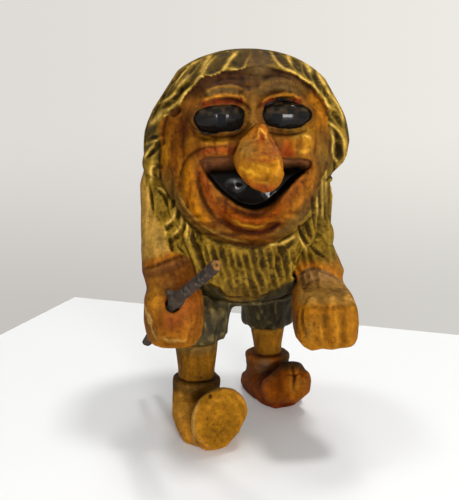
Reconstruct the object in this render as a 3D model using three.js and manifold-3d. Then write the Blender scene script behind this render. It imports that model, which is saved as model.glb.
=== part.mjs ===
// A carved wooden gnome with a twig staff, built up from pine blocks that are glued on dowels.
// Millimetres, +Z up. The figure faces -Y, so its own right hand is on the -X side.

import * as THREE from "three";
import { mergeVertices } from "three/addons/utils/BufferGeometryUtils.js";
import Module from "manifold-3d";

const wasm = await Module();
wasm.setup();

// Fits between the blocks
const GLUE_GAP = 0.3;
const DOWEL_FIT = 0.3;
const DOWEL_END_GAP = 0.5;

// Heights of the seams where one block stands on the next, stacked up from the floor
const BOOT_TOP = 18.5;
const RIGHT_SHIN = 16;
const LEFT_SHIN = 13;
const TROUSER_RISE = 19.5;
const TORSO_RISE = 18;
const CUFF_RISE = 6.5;
const RIGHT_HEM = BOOT_TOP + RIGHT_SHIN;
const LEFT_HEM = BOOT_TOP + LEFT_SHIN;
const WAIST_HEIGHT = RIGHT_HEM + TROUSER_RISE;
const CUFF_HEIGHT = WAIST_HEIGHT + CUFF_RISE;
const NECK_HEIGHT = WAIST_HEIGHT + TORSO_RISE;

// Hair mass: a fluted ellipsoid, open at the front round the face
const HAIR_HALF_WIDTH = 41;
const HAIR_HALF_DEPTH = 38;
const HAIR_HALF_HEIGHT = 40;
const HAIR_CENTRE_X = 0.8;
const HAIR_CENTRE_Y = 3;
const HAIR_RISE = 36;
const HAIR_CENTRE_Z = NECK_HEIGHT + HAIR_RISE;
const HAIR_LOWER_HEIGHT = 18;
const HAIR_FRONT_AT_CROWN = 27;
const HAIR_FRONT_AT_RIM = 15;
const HAIR_SQUARENESS = 2.2;
const FLUTE_COUNT = 26;
const FLUTE_DEPTH = 2.2;

// Mane below the hair, which becomes the upper beard under the chin
const MANE_HALF_WIDTH = 35.3;
const MANE_FRONT = 23;
const MANE_BACK = 30;
const LOCK_COUNT = 22;
const LOCK_DEPTH = 2.4;

// Face: a relief set into the opening of the hair
const FACE_HALF_WIDTH = 31;
const FACE_HALF_HEIGHT = 30.5;
const FACE_UPPER_HEIGHT = 33;
const FACE_CENTRE_Z = HAIR_CENTRE_Z - 0.5;
const FACE_RELIEF = 30;
const FACE_FLOOR = 6;
const SCALLOP_DEPTH = 1.6;

// Eyes, nose and mouth, with heights from the middle of the face
const EYE_SPACING = 24;
const EYE_RISE = 15;
const EYE_HEIGHT = FACE_CENTRE_Z + EYE_RISE;
const EYE_HALF_WIDTH = 10.2;
const EYE_HALF_HEIGHT = 5.6;
const EYE_HALF_DEPTH = 5.5;
const EYE_FRONT = FACE_RELIEF - 1.8;
const NOSE_HEIGHT = FACE_CENTRE_Z - 1.5;
const NOSE_HALF_WIDTH = 9;
const NOSE_HALF_DEPTH = 10.5;
const NOSE_HALF_HEIGHT = 9.5;
const NOSE_REACH = 19;
const NOSE_FRONT = FACE_RELIEF + NOSE_REACH;
const NOSE_PEG_RADIUS = 3;
const NOSE_PEG_DEPTH = 9;
const MOUTH_HALF_WIDTH = 20.5;
const MOUTH_DROP = 0.5;
const MOUTH_SAG = 17.7;
const MOUTH_OPENING = 19.5;
const MOUTH_DEPTH = 9.6;
const PALATE_DEPTH = 2.6;
const MOUTH_CORNER_HEIGHT = FACE_CENTRE_Z - MOUTH_DROP;
const MOUTH_LOW_HEIGHT = MOUTH_CORNER_HEIGHT - MOUTH_SAG;
const MOUTH_ROOF_HEIGHT = MOUTH_LOW_HEIGHT + MOUTH_OPENING;
const MOUTH_FLOOR = FACE_RELIEF - MOUTH_DEPTH;

// Torso and the lower beard that hangs over the waist
const TORSO_HALF_WIDTH = 33;
const TORSO_HALF_DEPTH = 24;
const BEARD_HALF_WIDTH = 24;
const BEARD_FRONT = 26;
const BEARD_HALF_HEIGHT = 11;
const BEARD_OVERHANG = 3.5;

// Arms, as sleeves that taper from a level cuff to a rounded shoulder
const RIGHT_SHOULDER_RISE = 34;
const LEFT_SHOULDER_RISE = 5;
const RIGHT_SHOULDER_HEIGHT = NECK_HEIGHT + RIGHT_SHOULDER_RISE;
const LEFT_SHOULDER_HEIGHT = NECK_HEIGHT + LEFT_SHOULDER_RISE;
const RIGHT_CUFF = { x: -30.5, y: -13, rx: 11, ry: 14.5 };
const LEFT_CUFF = { x: 27.5, y: -16, rx: 11, ry: 15.5 };
const RIGHT_SHOULDER = { x: -34.2, y: 6, rx: 7.8, ry: 10.2 };
const LEFT_SHOULDER = { x: 26.6, y: -4, rx: 8.4, ry: 12.3 };
const SHOULDER_ROUNDING = 11;

// Hands, which hang below the cuffs
const RIGHT_HAND_LENGTH = 22.3;
const LEFT_HAND_LENGTH = 20;
const RIGHT_HAND_LOW = CUFF_HEIGHT - RIGHT_HAND_LENGTH;
const LEFT_HAND_LOW = CUFF_HEIGHT - LEFT_HAND_LENGTH;
const RIGHT_FIST = { x: -29.3, y: -24 };
const LEFT_FIST = { x: 26, y: -33 };
const RIGHT_WRIST = { x: RIGHT_CUFF.x, y: RIGHT_FIST.y + 8 };
const LEFT_WRIST = { x: LEFT_CUFF.x - 0.5, y: LEFT_FIST.y + 9.8 };
const HAND_HALF_WIDTH = 11.4;
const FIST_HALF_DEPTH = 11.5;
const FINGER_WIDTH = 6.2;
const FINGER_GROOVE = 1.3;

// Legs, stance and boots. The right foot leads and both boots turn to the figure's left.
const RIGHT_LEG_HALF_WIDTH = 8;
const LEFT_LEG_HALF_WIDTH = 6.7;
const RIGHT_ANKLE = { x: -20.5, y: -10, hem: RIGHT_HEM, half: RIGHT_LEG_HALF_WIDTH };
const LEFT_ANKLE = { x: 12, y: 16, hem: LEFT_HEM, half: LEFT_LEG_HALF_WIDTH };
const RIGHT_BOOT_TURN = THREE.MathUtils.degToRad(17);
const LEFT_BOOT_TURN = THREE.MathUtils.degToRad(20);
const BOOT_HALF_WIDTH = 9.8;
const BOOT_HEEL = 11;
const RIGHT_BOOT_REACH = 29;
const LEFT_BOOT_REACH = 19.5;
const RIGHT_TOE = { x: -0.9, y: -28.5, z: 12.5, rx: 11.4, ry: 6.5, rz: 12.8 };
const LEFT_TOE = { x: -0.3, y: -23.2, z: 12.9, rx: 8, ry: 8.4, rz: 8.8 };
const RIGHT_TOE_FACET = 30;
const TROUSER_HALF_WIDTH = 11.5;
const HIP_HALF_WIDTH = 28;
const HIP_HALF_DEPTH = 19.5;
const CROTCH_HEIGHT = RIGHT_HEM + (TROUSER_RISE * 2) / 3;

// Staff: a crooked twig, straight below its knot, in a loose bore through the right fist
const STAFF_RADIUS = 2.1;
const STAFF_BORE_RADIUS = 2.8;
const STAFF_TAIL = 64;
const STAFF_HEAD = 39;
const STAFF_DROP = 3.7;
const STAFF_MOUTH = new THREE.Vector3(RIGHT_FIST.x + 0.1, RIGHT_FIST.y - 11, CUFF_HEIGHT - STAFF_DROP);
const STAFF_SLOPE = new THREE.Vector3(0.187, -0.835, 0.517).normalize();
const STAFF_BEND = new THREE.Vector3(0.366, -0.763, 0.532).normalize();
const KNOT_AT = 4.3;
const KNOT_RADIUS = 3.3;

// Dowels
const NECK_DOWEL_RADIUS = 4;
const WAIST_DOWEL_RADIUS = 3;
const LIMB_DOWEL_RADIUS = 2.2;
const NECK_DOWEL_LENGTH = 26;
const WAIST_DOWEL_LENGTH = 16;
const RIGHT_WAIST = { x: -14, y: 5 };
const LEFT_WAIST = { x: 11, y: 8 };
const SHOULDER_DOWEL_LENGTH = 20;
const SHOULDER_DOWEL_Y = -4;
const WRIST_DOWEL_IN_ARM = 3;
const WRIST_DOWEL_IN_HAND = 4;
const LEG_DOWEL_IN_BOOT = 11;
const LEG_DOWEL_IN_TROUSER = 8;

// Facets: enough for the form to read, with the fine carving left out
const ROUND_SIDES = 24;
const DOWEL_SIDES = 16;
const CUT_REACH = 200;

const WOOD = { roughness: 0.5, metalness: 0 };
const OCHRE = { color: 0xa8742a, ...WOOD };
const OLIVE = { color: 0x7a6a34, ...WOOD };
const TROUSER_GREY = { color: 0x4a4636, ...WOOD };
const BARE_PINE = { color: 0xd8b680, roughness: 0.7, metalness: 0 };
const LACQUER_BLACK = { color: 0x15100c, roughness: 0.12, metalness: 0 };
const BARK = { color: 0x3a332e, roughness: 0.85, metalness: 0 };

// A closed geometry as a solid that can be joined and cut.
function solid(geometry) {
  const bare = geometry.clone();
  bare.deleteAttribute("normal");
  bare.deleteAttribute("uv");
  const merged = mergeVertices(bare, 1e-4);
  const shell = { numProp: 3, vertProperties: merged.attributes.position.array };
  shell.triVerts = new Uint32Array(merged.index.array);
  return new wasm.Manifold(new wasm.Mesh(shell));
}

function geometryOf(body) {
  const mesh = body.getMesh();
  const geometry = new THREE.BufferGeometry();
  geometry.setAttribute("position", new THREE.BufferAttribute(mesh.vertProperties, 3));
  geometry.setIndex(new THREE.BufferAttribute(mesh.triVerts, 1));
  geometry.computeVertexNormals();
  return geometry;
}

function piece(name, body, finish) {
  const mesh = new THREE.Mesh(geometryOf(body), new THREE.MeshStandardMaterial(finish));
  mesh.name = name;
  return mesh;
}

function ellipsoid(centre, radii, tilt = 0, sides = ROUND_SIDES) {
  const ball = new THREE.SphereGeometry(1, sides, Math.round(sides * 0.6));
  ball.rotateX(Math.PI / 2);
  ball.scale(...radii);
  ball.rotateX(tilt);
  ball.translate(...centre);
  return solid(ball);
}

// A closed skin over rings of points that all have as many points, first ring to last.
function skin(rings) {
  const sides = rings[0].length;
  const middle = (ring) => ring.reduce((sum, p) => sum.add(p), new THREE.Vector3()).divideScalar(sides);
  const points = [...rings.flat(), middle(rings[0]), middle(rings.at(-1))];
  const faces = [];
  const first = rings.length * sides;
  for (let side = 0; side < sides; side++) {
    const next = (side + 1) % sides;
    for (let ring = 0; ring + 1 < rings.length; ring++) {
      const low = ring * sides;
      const high = low + sides;
      faces.push(low + side, low + next, high + next, low + side, high + next, high + side);
    }
    const top = (rings.length - 1) * sides;
    faces.push(first, next, side, first + 1, top + side, top + next);
  }
  const geometry = new THREE.BufferGeometry().setFromPoints(points);
  geometry.setIndex(faces);
  return solid(geometry);
}

// A loft through level oval sections, lowest first. A power over 2 squares the ovals up; a gouge takes some depth off.
function loft(sections, power = 2, sides = ROUND_SIDES, gouge = () => 0) {
  const bow = (value) => Math.sign(value) * Math.abs(value) ** (2 / power);
  const ring = ({ x, y, z, rx, ry }) =>
    Array.from({ length: sides }, (_, side) => {
      const angle = (side / sides) * 2 * Math.PI;
      const cut = gouge(side);
      return new THREE.Vector3(x + (rx - cut) * bow(Math.cos(angle)), y + (ry - cut) * bow(Math.sin(angle)), z);
    });
  return skin(sections.map(ring));
}

// The same sections, wider all round and longer at both ends by grow, for the housing of a block.
function grown(sections, grow) {
  const wider = sections.map((section) => ({ ...section, rx: section.rx + grow, ry: section.ry + grow }));
  const first = wider[0];
  const last = wider.at(-1);
  return [{ ...first, z: first.z - grow }, ...wider, { ...last, z: last.z + grow }];
}

// A round bar from one point to another.
function bar(from, to, radius, sides = DOWEL_SIDES) {
  const along = to.clone().sub(from);
  const cylinder = new THREE.CylinderGeometry(radius, radius, along.length(), sides);
  cylinder.translate(0, along.length() / 2, 0);
  cylinder.applyQuaternion(new THREE.Quaternion().setFromUnitVectors(THREE.Object3D.DEFAULT_UP, along.normalize()));
  cylinder.translate(from.x, from.y, from.z);
  return solid(cylinder);
}

// Everything on the far side of a plane through a point, as a cutter as deep as CUT_REACH.
function beyond(point, normal) {
  const slab = new THREE.BoxGeometry(2 * CUT_REACH, 2 * CUT_REACH, CUT_REACH);
  slab.translate(0, 0, CUT_REACH / 2);
  const turn = new THREE.Quaternion().setFromUnitVectors(new THREE.Vector3(0, 0, 1), normal.clone().normalize());
  slab.applyQuaternion(turn);
  slab.translate(point.x, point.y, point.z);
  return solid(slab);
}

const at = (x, y, z) => new THREE.Vector3(x, y, z);
const above = (height) => beyond(at(0, 0, height), at(0, 0, 1));
const below = (height) => beyond(at(0, 0, height), at(0, 0, -1));

// A dowel with its two ends, and the bore that takes it.
function dowel(from, to, radius) {
  const along = to.clone().sub(from).normalize().multiplyScalar(DOWEL_END_GAP);
  return {
    body: bar(from, to, radius),
    bore: bar(from.clone().sub(along), to.clone().add(along), radius + DOWEL_FIT),
  };
}

// Dowels that hold the blocks together
const neckDowel = dowel(
  at(0, HAIR_CENTRE_Y, NECK_HEIGHT - NECK_DOWEL_LENGTH / 2 + 1),
  at(0, HAIR_CENTRE_Y, NECK_HEIGHT + NECK_DOWEL_LENGTH / 2),
  NECK_DOWEL_RADIUS,
);
const waistDowels = [RIGHT_WAIST, LEFT_WAIST].map(({ x, y }) =>
  dowel(
    at(x, y, WAIST_HEIGHT - WAIST_DOWEL_LENGTH / 2),
    at(x, y, WAIST_HEIGHT + WAIST_DOWEL_LENGTH / 2),
    WAIST_DOWEL_RADIUS,
  ),
);
const legDowels = [RIGHT_ANKLE, LEFT_ANKLE].map(({ x, y, hem }) =>
  dowel(
    at(x, y, BOOT_TOP - LEG_DOWEL_IN_BOOT),
    at(x, y, hem + LEG_DOWEL_IN_TROUSER),
    LIMB_DOWEL_RADIUS,
  ),
);
const wristDowels = [RIGHT_WRIST, LEFT_WRIST].map(({ x, y }) =>
  dowel(
    at(x, y, CUFF_HEIGHT - WRIST_DOWEL_IN_HAND),
    at(x, y, CUFF_HEIGHT + WRIST_DOWEL_IN_ARM),
    LIMB_DOWEL_RADIUS,
  ),
);
const shoulderDowels = [-1, 1].map((side) => {
  const outer = side * TORSO_HALF_WIDTH;
  const height = (CUFF_HEIGHT + NECK_HEIGHT) / 2;
  return dowel(
    at(outer, SHOULDER_DOWEL_Y, height),
    at(outer - side * SHOULDER_DOWEL_LENGTH, SHOULDER_DOWEL_Y, height),
    LIMB_DOWEL_RADIUS,
  );
});

// A section between two others, by its share of the way, and narrowed where the form rounds off.
function between(low, high, share, z, narrow = 1) {
  const mix = (key) => low[key] + (high[key] - low[key]) * share;
  return { x: mix("x"), y: mix("y"), z, rx: mix("rx") * narrow, ry: mix("ry") * narrow };
}

// Arms: lofts from the level cuff up to a rounded shoulder
function armSections(cuff, shoulder, height, rounding) {
  const straight = height - rounding - CUFF_HEIGHT;
  return [
    { ...cuff, z: CUFF_HEIGHT },
    between(cuff, shoulder, 0.38, CUFF_HEIGHT + straight * 0.4),
    between(cuff, shoulder, 0.8, CUFF_HEIGHT + straight * 0.75),
    between(cuff, shoulder, 1, height - rounding),
    between(cuff, shoulder, 1, height - rounding * 0.3, 0.72),
    between(cuff, shoulder, 1, height, 0.3),
  ];
}
const rightArmSections = armSections(RIGHT_CUFF, RIGHT_SHOULDER, RIGHT_SHOULDER_HEIGHT, SHOULDER_ROUNDING);
const leftArmSections = armSections(LEFT_CUFF, LEFT_SHOULDER, LEFT_SHOULDER_HEIGHT, SHOULDER_ROUNDING * 0.4);
const armHousings = [rightArmSections, leftArmSections].map((sections) => loft(grown(sections, GLUE_GAP)));

function arm(sections, wrist, shoulder) {
  return loft(sections).subtract(wrist.bore).subtract(shoulder.bore);
}

// Right hand: a fist with the staff's bore through it
const fistTop = CUFF_HEIGHT - GLUE_GAP;
function handSection(fist, ahead, z, wide, deep) {
  return { x: fist.x, y: fist.y - ahead * FIST_HALF_DEPTH, z, rx: wide * HAND_HALF_WIDTH, ry: deep * FIST_HALF_DEPTH };
}
const rightHandSections = [
  handSection(RIGHT_FIST, -0.04, RIGHT_HAND_LOW, 0.7, 0.74),
  handSection(RIGHT_FIST, 0, RIGHT_HAND_LOW + RIGHT_HAND_LENGTH * 0.13, 0.91, 0.93),
  handSection(RIGHT_FIST, 0, RIGHT_HAND_LOW + RIGHT_HAND_LENGTH * 0.4, 1, 1),
  handSection(RIGHT_FIST, -0.04, RIGHT_HAND_LOW + RIGHT_HAND_LENGTH * 0.8, 0.97, 0.97),
  handSection(RIGHT_FIST, -0.3, fistTop, 0.84, 0.96),
];
const staffBore = bar(
  STAFF_MOUTH.clone().addScaledVector(STAFF_SLOPE, STAFF_TAIL / 2),
  STAFF_MOUTH.clone().addScaledVector(STAFF_SLOPE, -STAFF_TAIL),
  STAFF_BORE_RADIUS,
);

function rightHand() {
  return loft(rightHandSections, 2.8).subtract(staffBore).subtract(wristDowels[0].bore);
}

// Left hand: a loose fist whose fingers hang down at the front, parted by grooves
const leftHandSections = [
  handSection(LEFT_FIST, 0.52, LEFT_HAND_LOW, 0.9, 0.44),
  handSection(LEFT_FIST, 0.44, LEFT_HAND_LOW + LEFT_HAND_LENGTH * 0.15, 1.02, 0.66),
  handSection(LEFT_FIST, 0.26, LEFT_HAND_LOW + LEFT_HAND_LENGTH * 0.45, 1.05, 0.9),
  handSection(LEFT_FIST, 0, LEFT_HAND_LOW + LEFT_HAND_LENGTH * 0.74, 1.03, 1.08),
  handSection(LEFT_FIST, -0.43, fistTop, 0.9, 1.08),
];

function leftHand() {
  let hand = loft(leftHandSections, 2.8).subtract(wristDowels[1].bore);
  const front = leftHandSections[2].y - leftHandSections[2].ry - FINGER_GROOVE * 0.2;
  for (const side of [-1, 0, 1]) {
    const x = LEFT_FIST.x + side * FINGER_WIDTH;
    const low = at(x, front + FINGER_GROOVE, LEFT_HAND_LOW - FINGER_GROOVE);
    const high = at(x, front, LEFT_HAND_LOW + LEFT_HAND_LENGTH * 0.63);
    hand = hand.subtract(bar(low, high, FINGER_GROOVE, 8));
  }
  return hand;
}

// Staff: the straight tail, the knot that rests on the fist, and the bent head
const knotAt = STAFF_MOUTH.clone().addScaledVector(STAFF_SLOPE, KNOT_AT);

function staff() {
  const tailEnd = STAFF_MOUTH.clone().addScaledVector(STAFF_SLOPE, -STAFF_TAIL);
  const headEnd = knotAt.clone().addScaledVector(STAFF_BEND, STAFF_HEAD - KNOT_AT);
  const stubEnd = knotAt.clone().add(at(-0.8, 0.2, 0.75).normalize().multiplyScalar(KNOT_RADIUS + 1.2));
  const joint = new THREE.SphereGeometry(KNOT_RADIUS, DOWEL_SIDES, DOWEL_SIDES / 2);
  joint.translate(knotAt.x, knotAt.y, knotAt.z);
  return bar(tailEnd, knotAt, STAFF_RADIUS)
    .add(bar(knotAt, headEnd, STAFF_RADIUS))
    .add(solid(joint))
    .add(bar(knotAt, stubEnd, STAFF_RADIUS * 0.72, 10));
}

// Locks of hair round mane and torso: a ridge at every other side of the loft, and a hollow between two ridges
const LOCK_SIDES = LOCK_COUNT * 2;
const lockHollow = (side) => (side % 2) * LOCK_DEPTH;

// Torso: a barrel between waist and neck, with the lower beard hanging in front
const torsoSections = [
  { x: -1, y: 1, z: WAIST_HEIGHT, rx: TORSO_HALF_WIDTH - 4, ry: TORSO_HALF_DEPTH - 3 },
  { x: -0.5, y: 1, z: (WAIST_HEIGHT + NECK_HEIGHT) / 2, rx: TORSO_HALF_WIDTH - 1, ry: TORSO_HALF_DEPTH },
  { x: 0, y: 2, z: NECK_HEIGHT - GLUE_GAP, rx: TORSO_HALF_WIDTH, ry: TORSO_HALF_DEPTH + 1 },
];
const beardCentre = [0, -BEARD_FRONT / 2, WAIST_HEIGHT - BEARD_OVERHANG + BEARD_HALF_HEIGHT];
const beardRadii = [BEARD_HALF_WIDTH, BEARD_FRONT / 2, BEARD_HALF_HEIGHT];
const handHousings = [
  loft(grown(rightHandSections, GLUE_GAP), 2.8),
  loft(grown(leftHandSections, GLUE_GAP), 2.8),
];

function torso() {
  let body = loft(torsoSections, 2.5, LOCK_SIDES, lockHollow).add(ellipsoid(beardCentre, beardRadii));
  const cutters = [...armHousings, ...handHousings, neckDowel.bore];
  cutters.push(...waistDowels.map((d) => d.bore), ...shoulderDowels.map((d) => d.bore));
  cutters.forEach((cutter) => (body = body.subtract(cutter)));
  return body.subtract(above(NECK_HEIGHT - GLUE_GAP));
}

// Breeches: hips and two short trouser legs, hollowed only for dowels and for what stands against them
function trouserSections({ x, y, hem }, lean) {
  const rx = TROUSER_HALF_WIDTH;
  return [
    { x, y, z: hem, rx: rx - 1, ry: rx - 1.5 },
    { x: x + lean * 0.4, y, z: hem + 2, rx, ry: rx - 0.5 },
    { x: x + lean, y: y * 0.8, z: CROTCH_HEIGHT, rx: rx + 0.5, ry: rx + 0.5 },
    { x: x + lean * 1.4, y: y * 0.6, z: WAIST_HEIGHT - 2, rx: rx - 1, ry: rx - 1 },
  ];
}

function breeches() {
  const top = WAIST_HEIGHT - GLUE_GAP;
  const hips = loft([
    { x: -3, y: 2, z: CROTCH_HEIGHT, rx: HIP_HALF_WIDTH - 8, ry: HIP_HALF_DEPTH - 7 },
    { x: -2, y: 2, z: CROTCH_HEIGHT + 3, rx: HIP_HALF_WIDTH - 1.5, ry: HIP_HALF_DEPTH - 1 },
    { x: -1.5, y: 2, z: top, rx: HIP_HALF_WIDTH, ry: HIP_HALF_DEPTH },
  ], 2.4);
  const beard = ellipsoid(beardCentre, beardRadii.map((r) => r + GLUE_GAP));
  let body = hips.add(loft(trouserSections(RIGHT_ANKLE, 2.5), 2.4));
  body = body.add(loft(trouserSections(LEFT_ANKLE, -0.5), 2.4));
  const cutters = [beard, ...handHousings, ...waistDowels.map((d) => d.bore), ...legDowels.map((d) => d.bore)];
  cutters.forEach((cutter) => (body = body.subtract(cutter)));
  return body;
}

// Lower legs in their stockings, threaded on the leg dowels
function leg({ x, y, hem, half }, legDowel) {
  const rx = half;
  const low = BOOT_TOP + GLUE_GAP;
  const high = hem - GLUE_GAP;
  const sections = [
    { x, y, z: low, rx: rx - 0.4, ry: rx },
    { x, y, z: low + 3, rx: rx - 0.6, ry: rx },
    { x, y, z: high, rx: rx + 0.9, ry: rx + 1.2 },
  ];
  return loft(sections, 2.3).subtract(legDowel.bore);
}

// Boots, modelled toe to -Y about the ankle and then turned: shaft, foot and a toe that curls up
function boot(reach, toe) {
  const half = BOOT_HALF_WIDTH;
  const shaft = loft([
    { x: 0, y: 0.5, z: 0, rx: half - 0.6, ry: BOOT_HEEL - 0.5 },
    { x: 0, y: 0.5, z: 4, rx: half, ry: BOOT_HEEL },
    { x: 0, y: 0, z: 12, rx: half - 1, ry: BOOT_HEEL - 1.8 },
    { x: 0, y: 0, z: BOOT_TOP - 3, rx: half - 0.3, ry: BOOT_HEEL - 1.2 },
    { x: 0, y: 0, z: BOOT_TOP, rx: half, ry: BOOT_HEEL - 1 },
  ], 2.3, 24);
  const footHalf = (reach + BOOT_HEEL) / 2;
  const foot = ellipsoid([0, BOOT_HEEL - footHalf, 4.5], [half + 1, footHalf + 2.5, 9], 0, 18);
  const middle = BOOT_HEEL - footHalf;
  const sole = loft([
    { x: 0, y: middle, z: 0, rx: half - 0.4, ry: footHalf + 0.6 },
    { x: 0, y: middle, z: 3, rx: half + 0.6, ry: footHalf + 1.8 },
    { x: 0, y: middle, z: 7, rx: half + 0.2, ry: footHalf + 1 },
  ], 3.6, 20);
  const tip = ellipsoid([toe.x, toe.y, toe.z], [toe.rx, toe.ry, toe.rz], 0.16, 20);
  return shaft.add(foot).add(sole).add(tip).subtract(below(0));
}

// The right toe is sliced off to a flat facet that leans forward.
function facetedBoot() {
  return boot(RIGHT_BOOT_REACH, RIGHT_TOE).subtract(beyond(at(0, -RIGHT_TOE_FACET, 0), at(0, -1, -0.16)));
}

function placedBoot(name, ankle, turn, body) {
  const boreFrom = at(0, 0, BOOT_TOP - LEG_DOWEL_IN_BOOT - DOWEL_END_GAP);
  const bored = body.subtract(bar(boreFrom, at(0, 0, BOOT_TOP + 1), LIMB_DOWEL_RADIUS + DOWEL_FIT));
  const mesh = piece(name, bored, OCHRE);
  mesh.position.set(ankle.x, ankle.y, 0);
  mesh.rotation.z = turn;
  return mesh;
}

// Hair: the ellipsoid's meridians are gouged into flutes that run down from the crown
function hairMass() {
  const ball = new THREE.SphereGeometry(1, FLUTE_COUNT * 3, 14);
  ball.rotateX(Math.PI / 2);
  const place = ball.attributes.position;
  const point = new THREE.Vector3();
  for (let i = 0; i < place.count; i++) {
    point.fromBufferAttribute(place, i);
    const round = Math.hypot(point.x, point.y);
    const wave = (1 - Math.cos(FLUTE_COUNT * Math.atan2(point.y, point.x))) / 2;
    const cut = (FLUTE_DEPTH * wave * Math.min(1, round * 1.6)) / HAIR_HALF_WIDTH;
    const tall = point.z < 0 ? HAIR_LOWER_HEIGHT : HAIR_HALF_HEIGHT;
    const square = (value) => Math.abs(value) ** HAIR_SQUARENESS;
    const puff = (square(point.x) + square(point.y) + square(point.z)) ** (-1 / HAIR_SQUARENESS);
    point.multiplyScalar(puff * (1 - cut)).multiply(at(HAIR_HALF_WIDTH, HAIR_HALF_DEPTH, tall));
    place.setXYZ(i, point.x, point.y, point.z);
  }
  ball.translate(HAIR_CENTRE_X, HAIR_CENTRE_Y, HAIR_CENTRE_Z);
  return solid(ball);
}

// Half height of the face, which reaches further up than down
const faceReach = (angle) => (Math.sin(angle) > 0 ? FACE_UPPER_HEIGHT : FACE_HALF_HEIGHT);

// The opening round the face: an oval whose upper edge is scalloped where the flutes run out
function faceOpening() {
  const outline = new THREE.Shape();
  const steps = FLUTE_COUNT * 3;
  for (let i = 0; i < steps; i++) {
    const angle = (i / steps) * 2 * Math.PI;
    const upper = Math.max(0, Math.sin(angle));
    const scallop = SCALLOP_DEPTH * upper * Math.abs(Math.sin((FLUTE_COUNT / 2) * angle));
    const x = (FACE_HALF_WIDTH - scallop) * Math.cos(angle);
    const z = (faceReach(angle) - scallop) * Math.sin(angle);
    if (i === 0) outline.moveTo(x, z);
    else outline.lineTo(x, z);
  }
  outline.closePath();
  const prism = new THREE.ExtrudeGeometry(outline, { depth: CUT_REACH, bevelEnabled: false });
  prism.rotateX(Math.PI / 2);
  prism.translate(0, -FACE_FLOOR, FACE_CENTRE_Z);
  return solid(prism);
}

// Bumps and hollows of the face: place on the front, spread and lift, mirrored where side is not 0
const EYE_X = EYE_SPACING / 2;
const FACE_FORMS = [
  { x: EYE_X, z: EYE_HEIGHT + 7.5, w: 10, h: 3, lift: 3.5, paired: true },
  { x: EYE_X, z: EYE_HEIGHT - 1, w: 9, h: 5, lift: -2.5, paired: true },
  { x: EYE_X * 1.27, z: NOSE_HEIGHT + NOSE_HALF_HEIGHT * 0.87, w: 7.5, h: 4, lift: 3.2, paired: true },
  { x: 0, z: EYE_HEIGHT + 3, w: 3.6, h: 8, lift: 2.2, paired: false },
  { x: 0, z: FACE_CENTRE_Z - FACE_HALF_HEIGHT + 1, w: 13, h: 3.2, lift: 2.4, paired: false },
];

// Folds of the face: the rolls from the nose round the corners of the mouth, and the lower lip, on one side
const byMouth = (across, down) =>
  new THREE.Vector2(MOUTH_HALF_WIDTH * across, MOUTH_CORNER_HEIGHT - MOUTH_SAG * down);
const FACE_FOLDS = [
  { path: [byMouth(0.5, -0.2), byMouth(1, -0.1), byMouth(1.13, 0.2), byMouth(1.08, 0.55), byMouth(0.62, 1.3)], w: 3, lift: 2.4 },
  { path: [byMouth(0.56, 0.86), byMouth(0.3, 1.13), byMouth(0, 1.25)], w: 2.5, lift: 3 },
];

function gapToPath(spot, path) {
  let nearest = Infinity;
  for (let i = 0; i + 1 < path.length; i++) {
    const along = path[i + 1].clone().sub(path[i]);
    const share = THREE.MathUtils.clamp(spot.clone().sub(path[i]).dot(along) / along.lengthSq(), 0, 1);
    nearest = Math.min(nearest, path[i].clone().addScaledVector(along, share).distanceTo(spot));
  }
  return nearest;
}

function faceDepth(x, z) {
  const across = Math.abs(x / (FACE_HALF_WIDTH + 5)) ** 2.6;
  const tall = z > FACE_CENTRE_Z ? FACE_UPPER_HEIGHT : FACE_HALF_HEIGHT;
  const up = Math.abs((z - FACE_CENTRE_Z + 3) / (tall + 5)) ** 2.6;
  let depth = FACE_RELIEF * Math.max(0, 1 - across - up) ** (1 / 2.6);
  for (const form of FACE_FORMS) {
    for (const side of form.paired ? [-1, 1] : [1]) {
      const dx = (x - side * form.x) / form.w;
      const dz = (z - form.z) / form.h;
      depth += form.lift * Math.exp(-dx * dx - dz * dz);
    }
  }
  for (const fold of FACE_FOLDS) {
    const off = gapToPath(new THREE.Vector2(Math.abs(x), z), fold.path) / fold.w;
    depth += fold.lift * Math.exp(-off * off);
  }
  return depth;
}

function faceRelief() {
  const rings = 13;
  const sides = 44;
  const ringAt = (share, depthAt) =>
    Array.from({ length: sides }, (_, side) => {
      const angle = (side / sides) * 2 * Math.PI;
      const x = share * (FACE_HALF_WIDTH + 1) * Math.cos(angle);
      const z = FACE_CENTRE_Z + share * (faceReach(angle) + 1) * Math.sin(angle);
      return at(x, -depthAt(x, z), z);
    });
  const front = Array.from({ length: rings }, (_, ring) => ringAt(1 - ring / (rings + 0.5), faceDepth));
  const back = ringAt(1, () => 0);
  return skin([back, ...front]);
}

// The open mouth: a crescent between two arcs, cut into the relief, whose palate slants in to the floor
function mouthCut() {
  const outline = new THREE.Shape();
  outline.moveTo(-MOUTH_HALF_WIDTH, MOUTH_CORNER_HEIGHT);
  outline.quadraticCurveTo(0, 2 * MOUTH_LOW_HEIGHT - MOUTH_CORNER_HEIGHT, MOUTH_HALF_WIDTH, MOUTH_CORNER_HEIGHT);
  outline.quadraticCurveTo(0, 2 * MOUTH_ROOF_HEIGHT - MOUTH_CORNER_HEIGHT, -MOUTH_HALF_WIDTH, MOUTH_CORNER_HEIGHT);
  const prism = new THREE.ExtrudeGeometry(outline, { depth: CUT_REACH, bevelEnabled: false, curveSegments: 14 });
  prism.rotateX(Math.PI / 2);
  prism.translate(0, -MOUTH_FLOOR, 0);
  const slant = MOUTH_DEPTH - PALATE_DEPTH;
  const palate = beyond(at(0, -FACE_RELIEF + PALATE_DEPTH, MOUTH_ROOF_HEIGHT), at(0, 1.2 * slant, slant));
  return solid(prism).subtract(palate);
}

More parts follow.
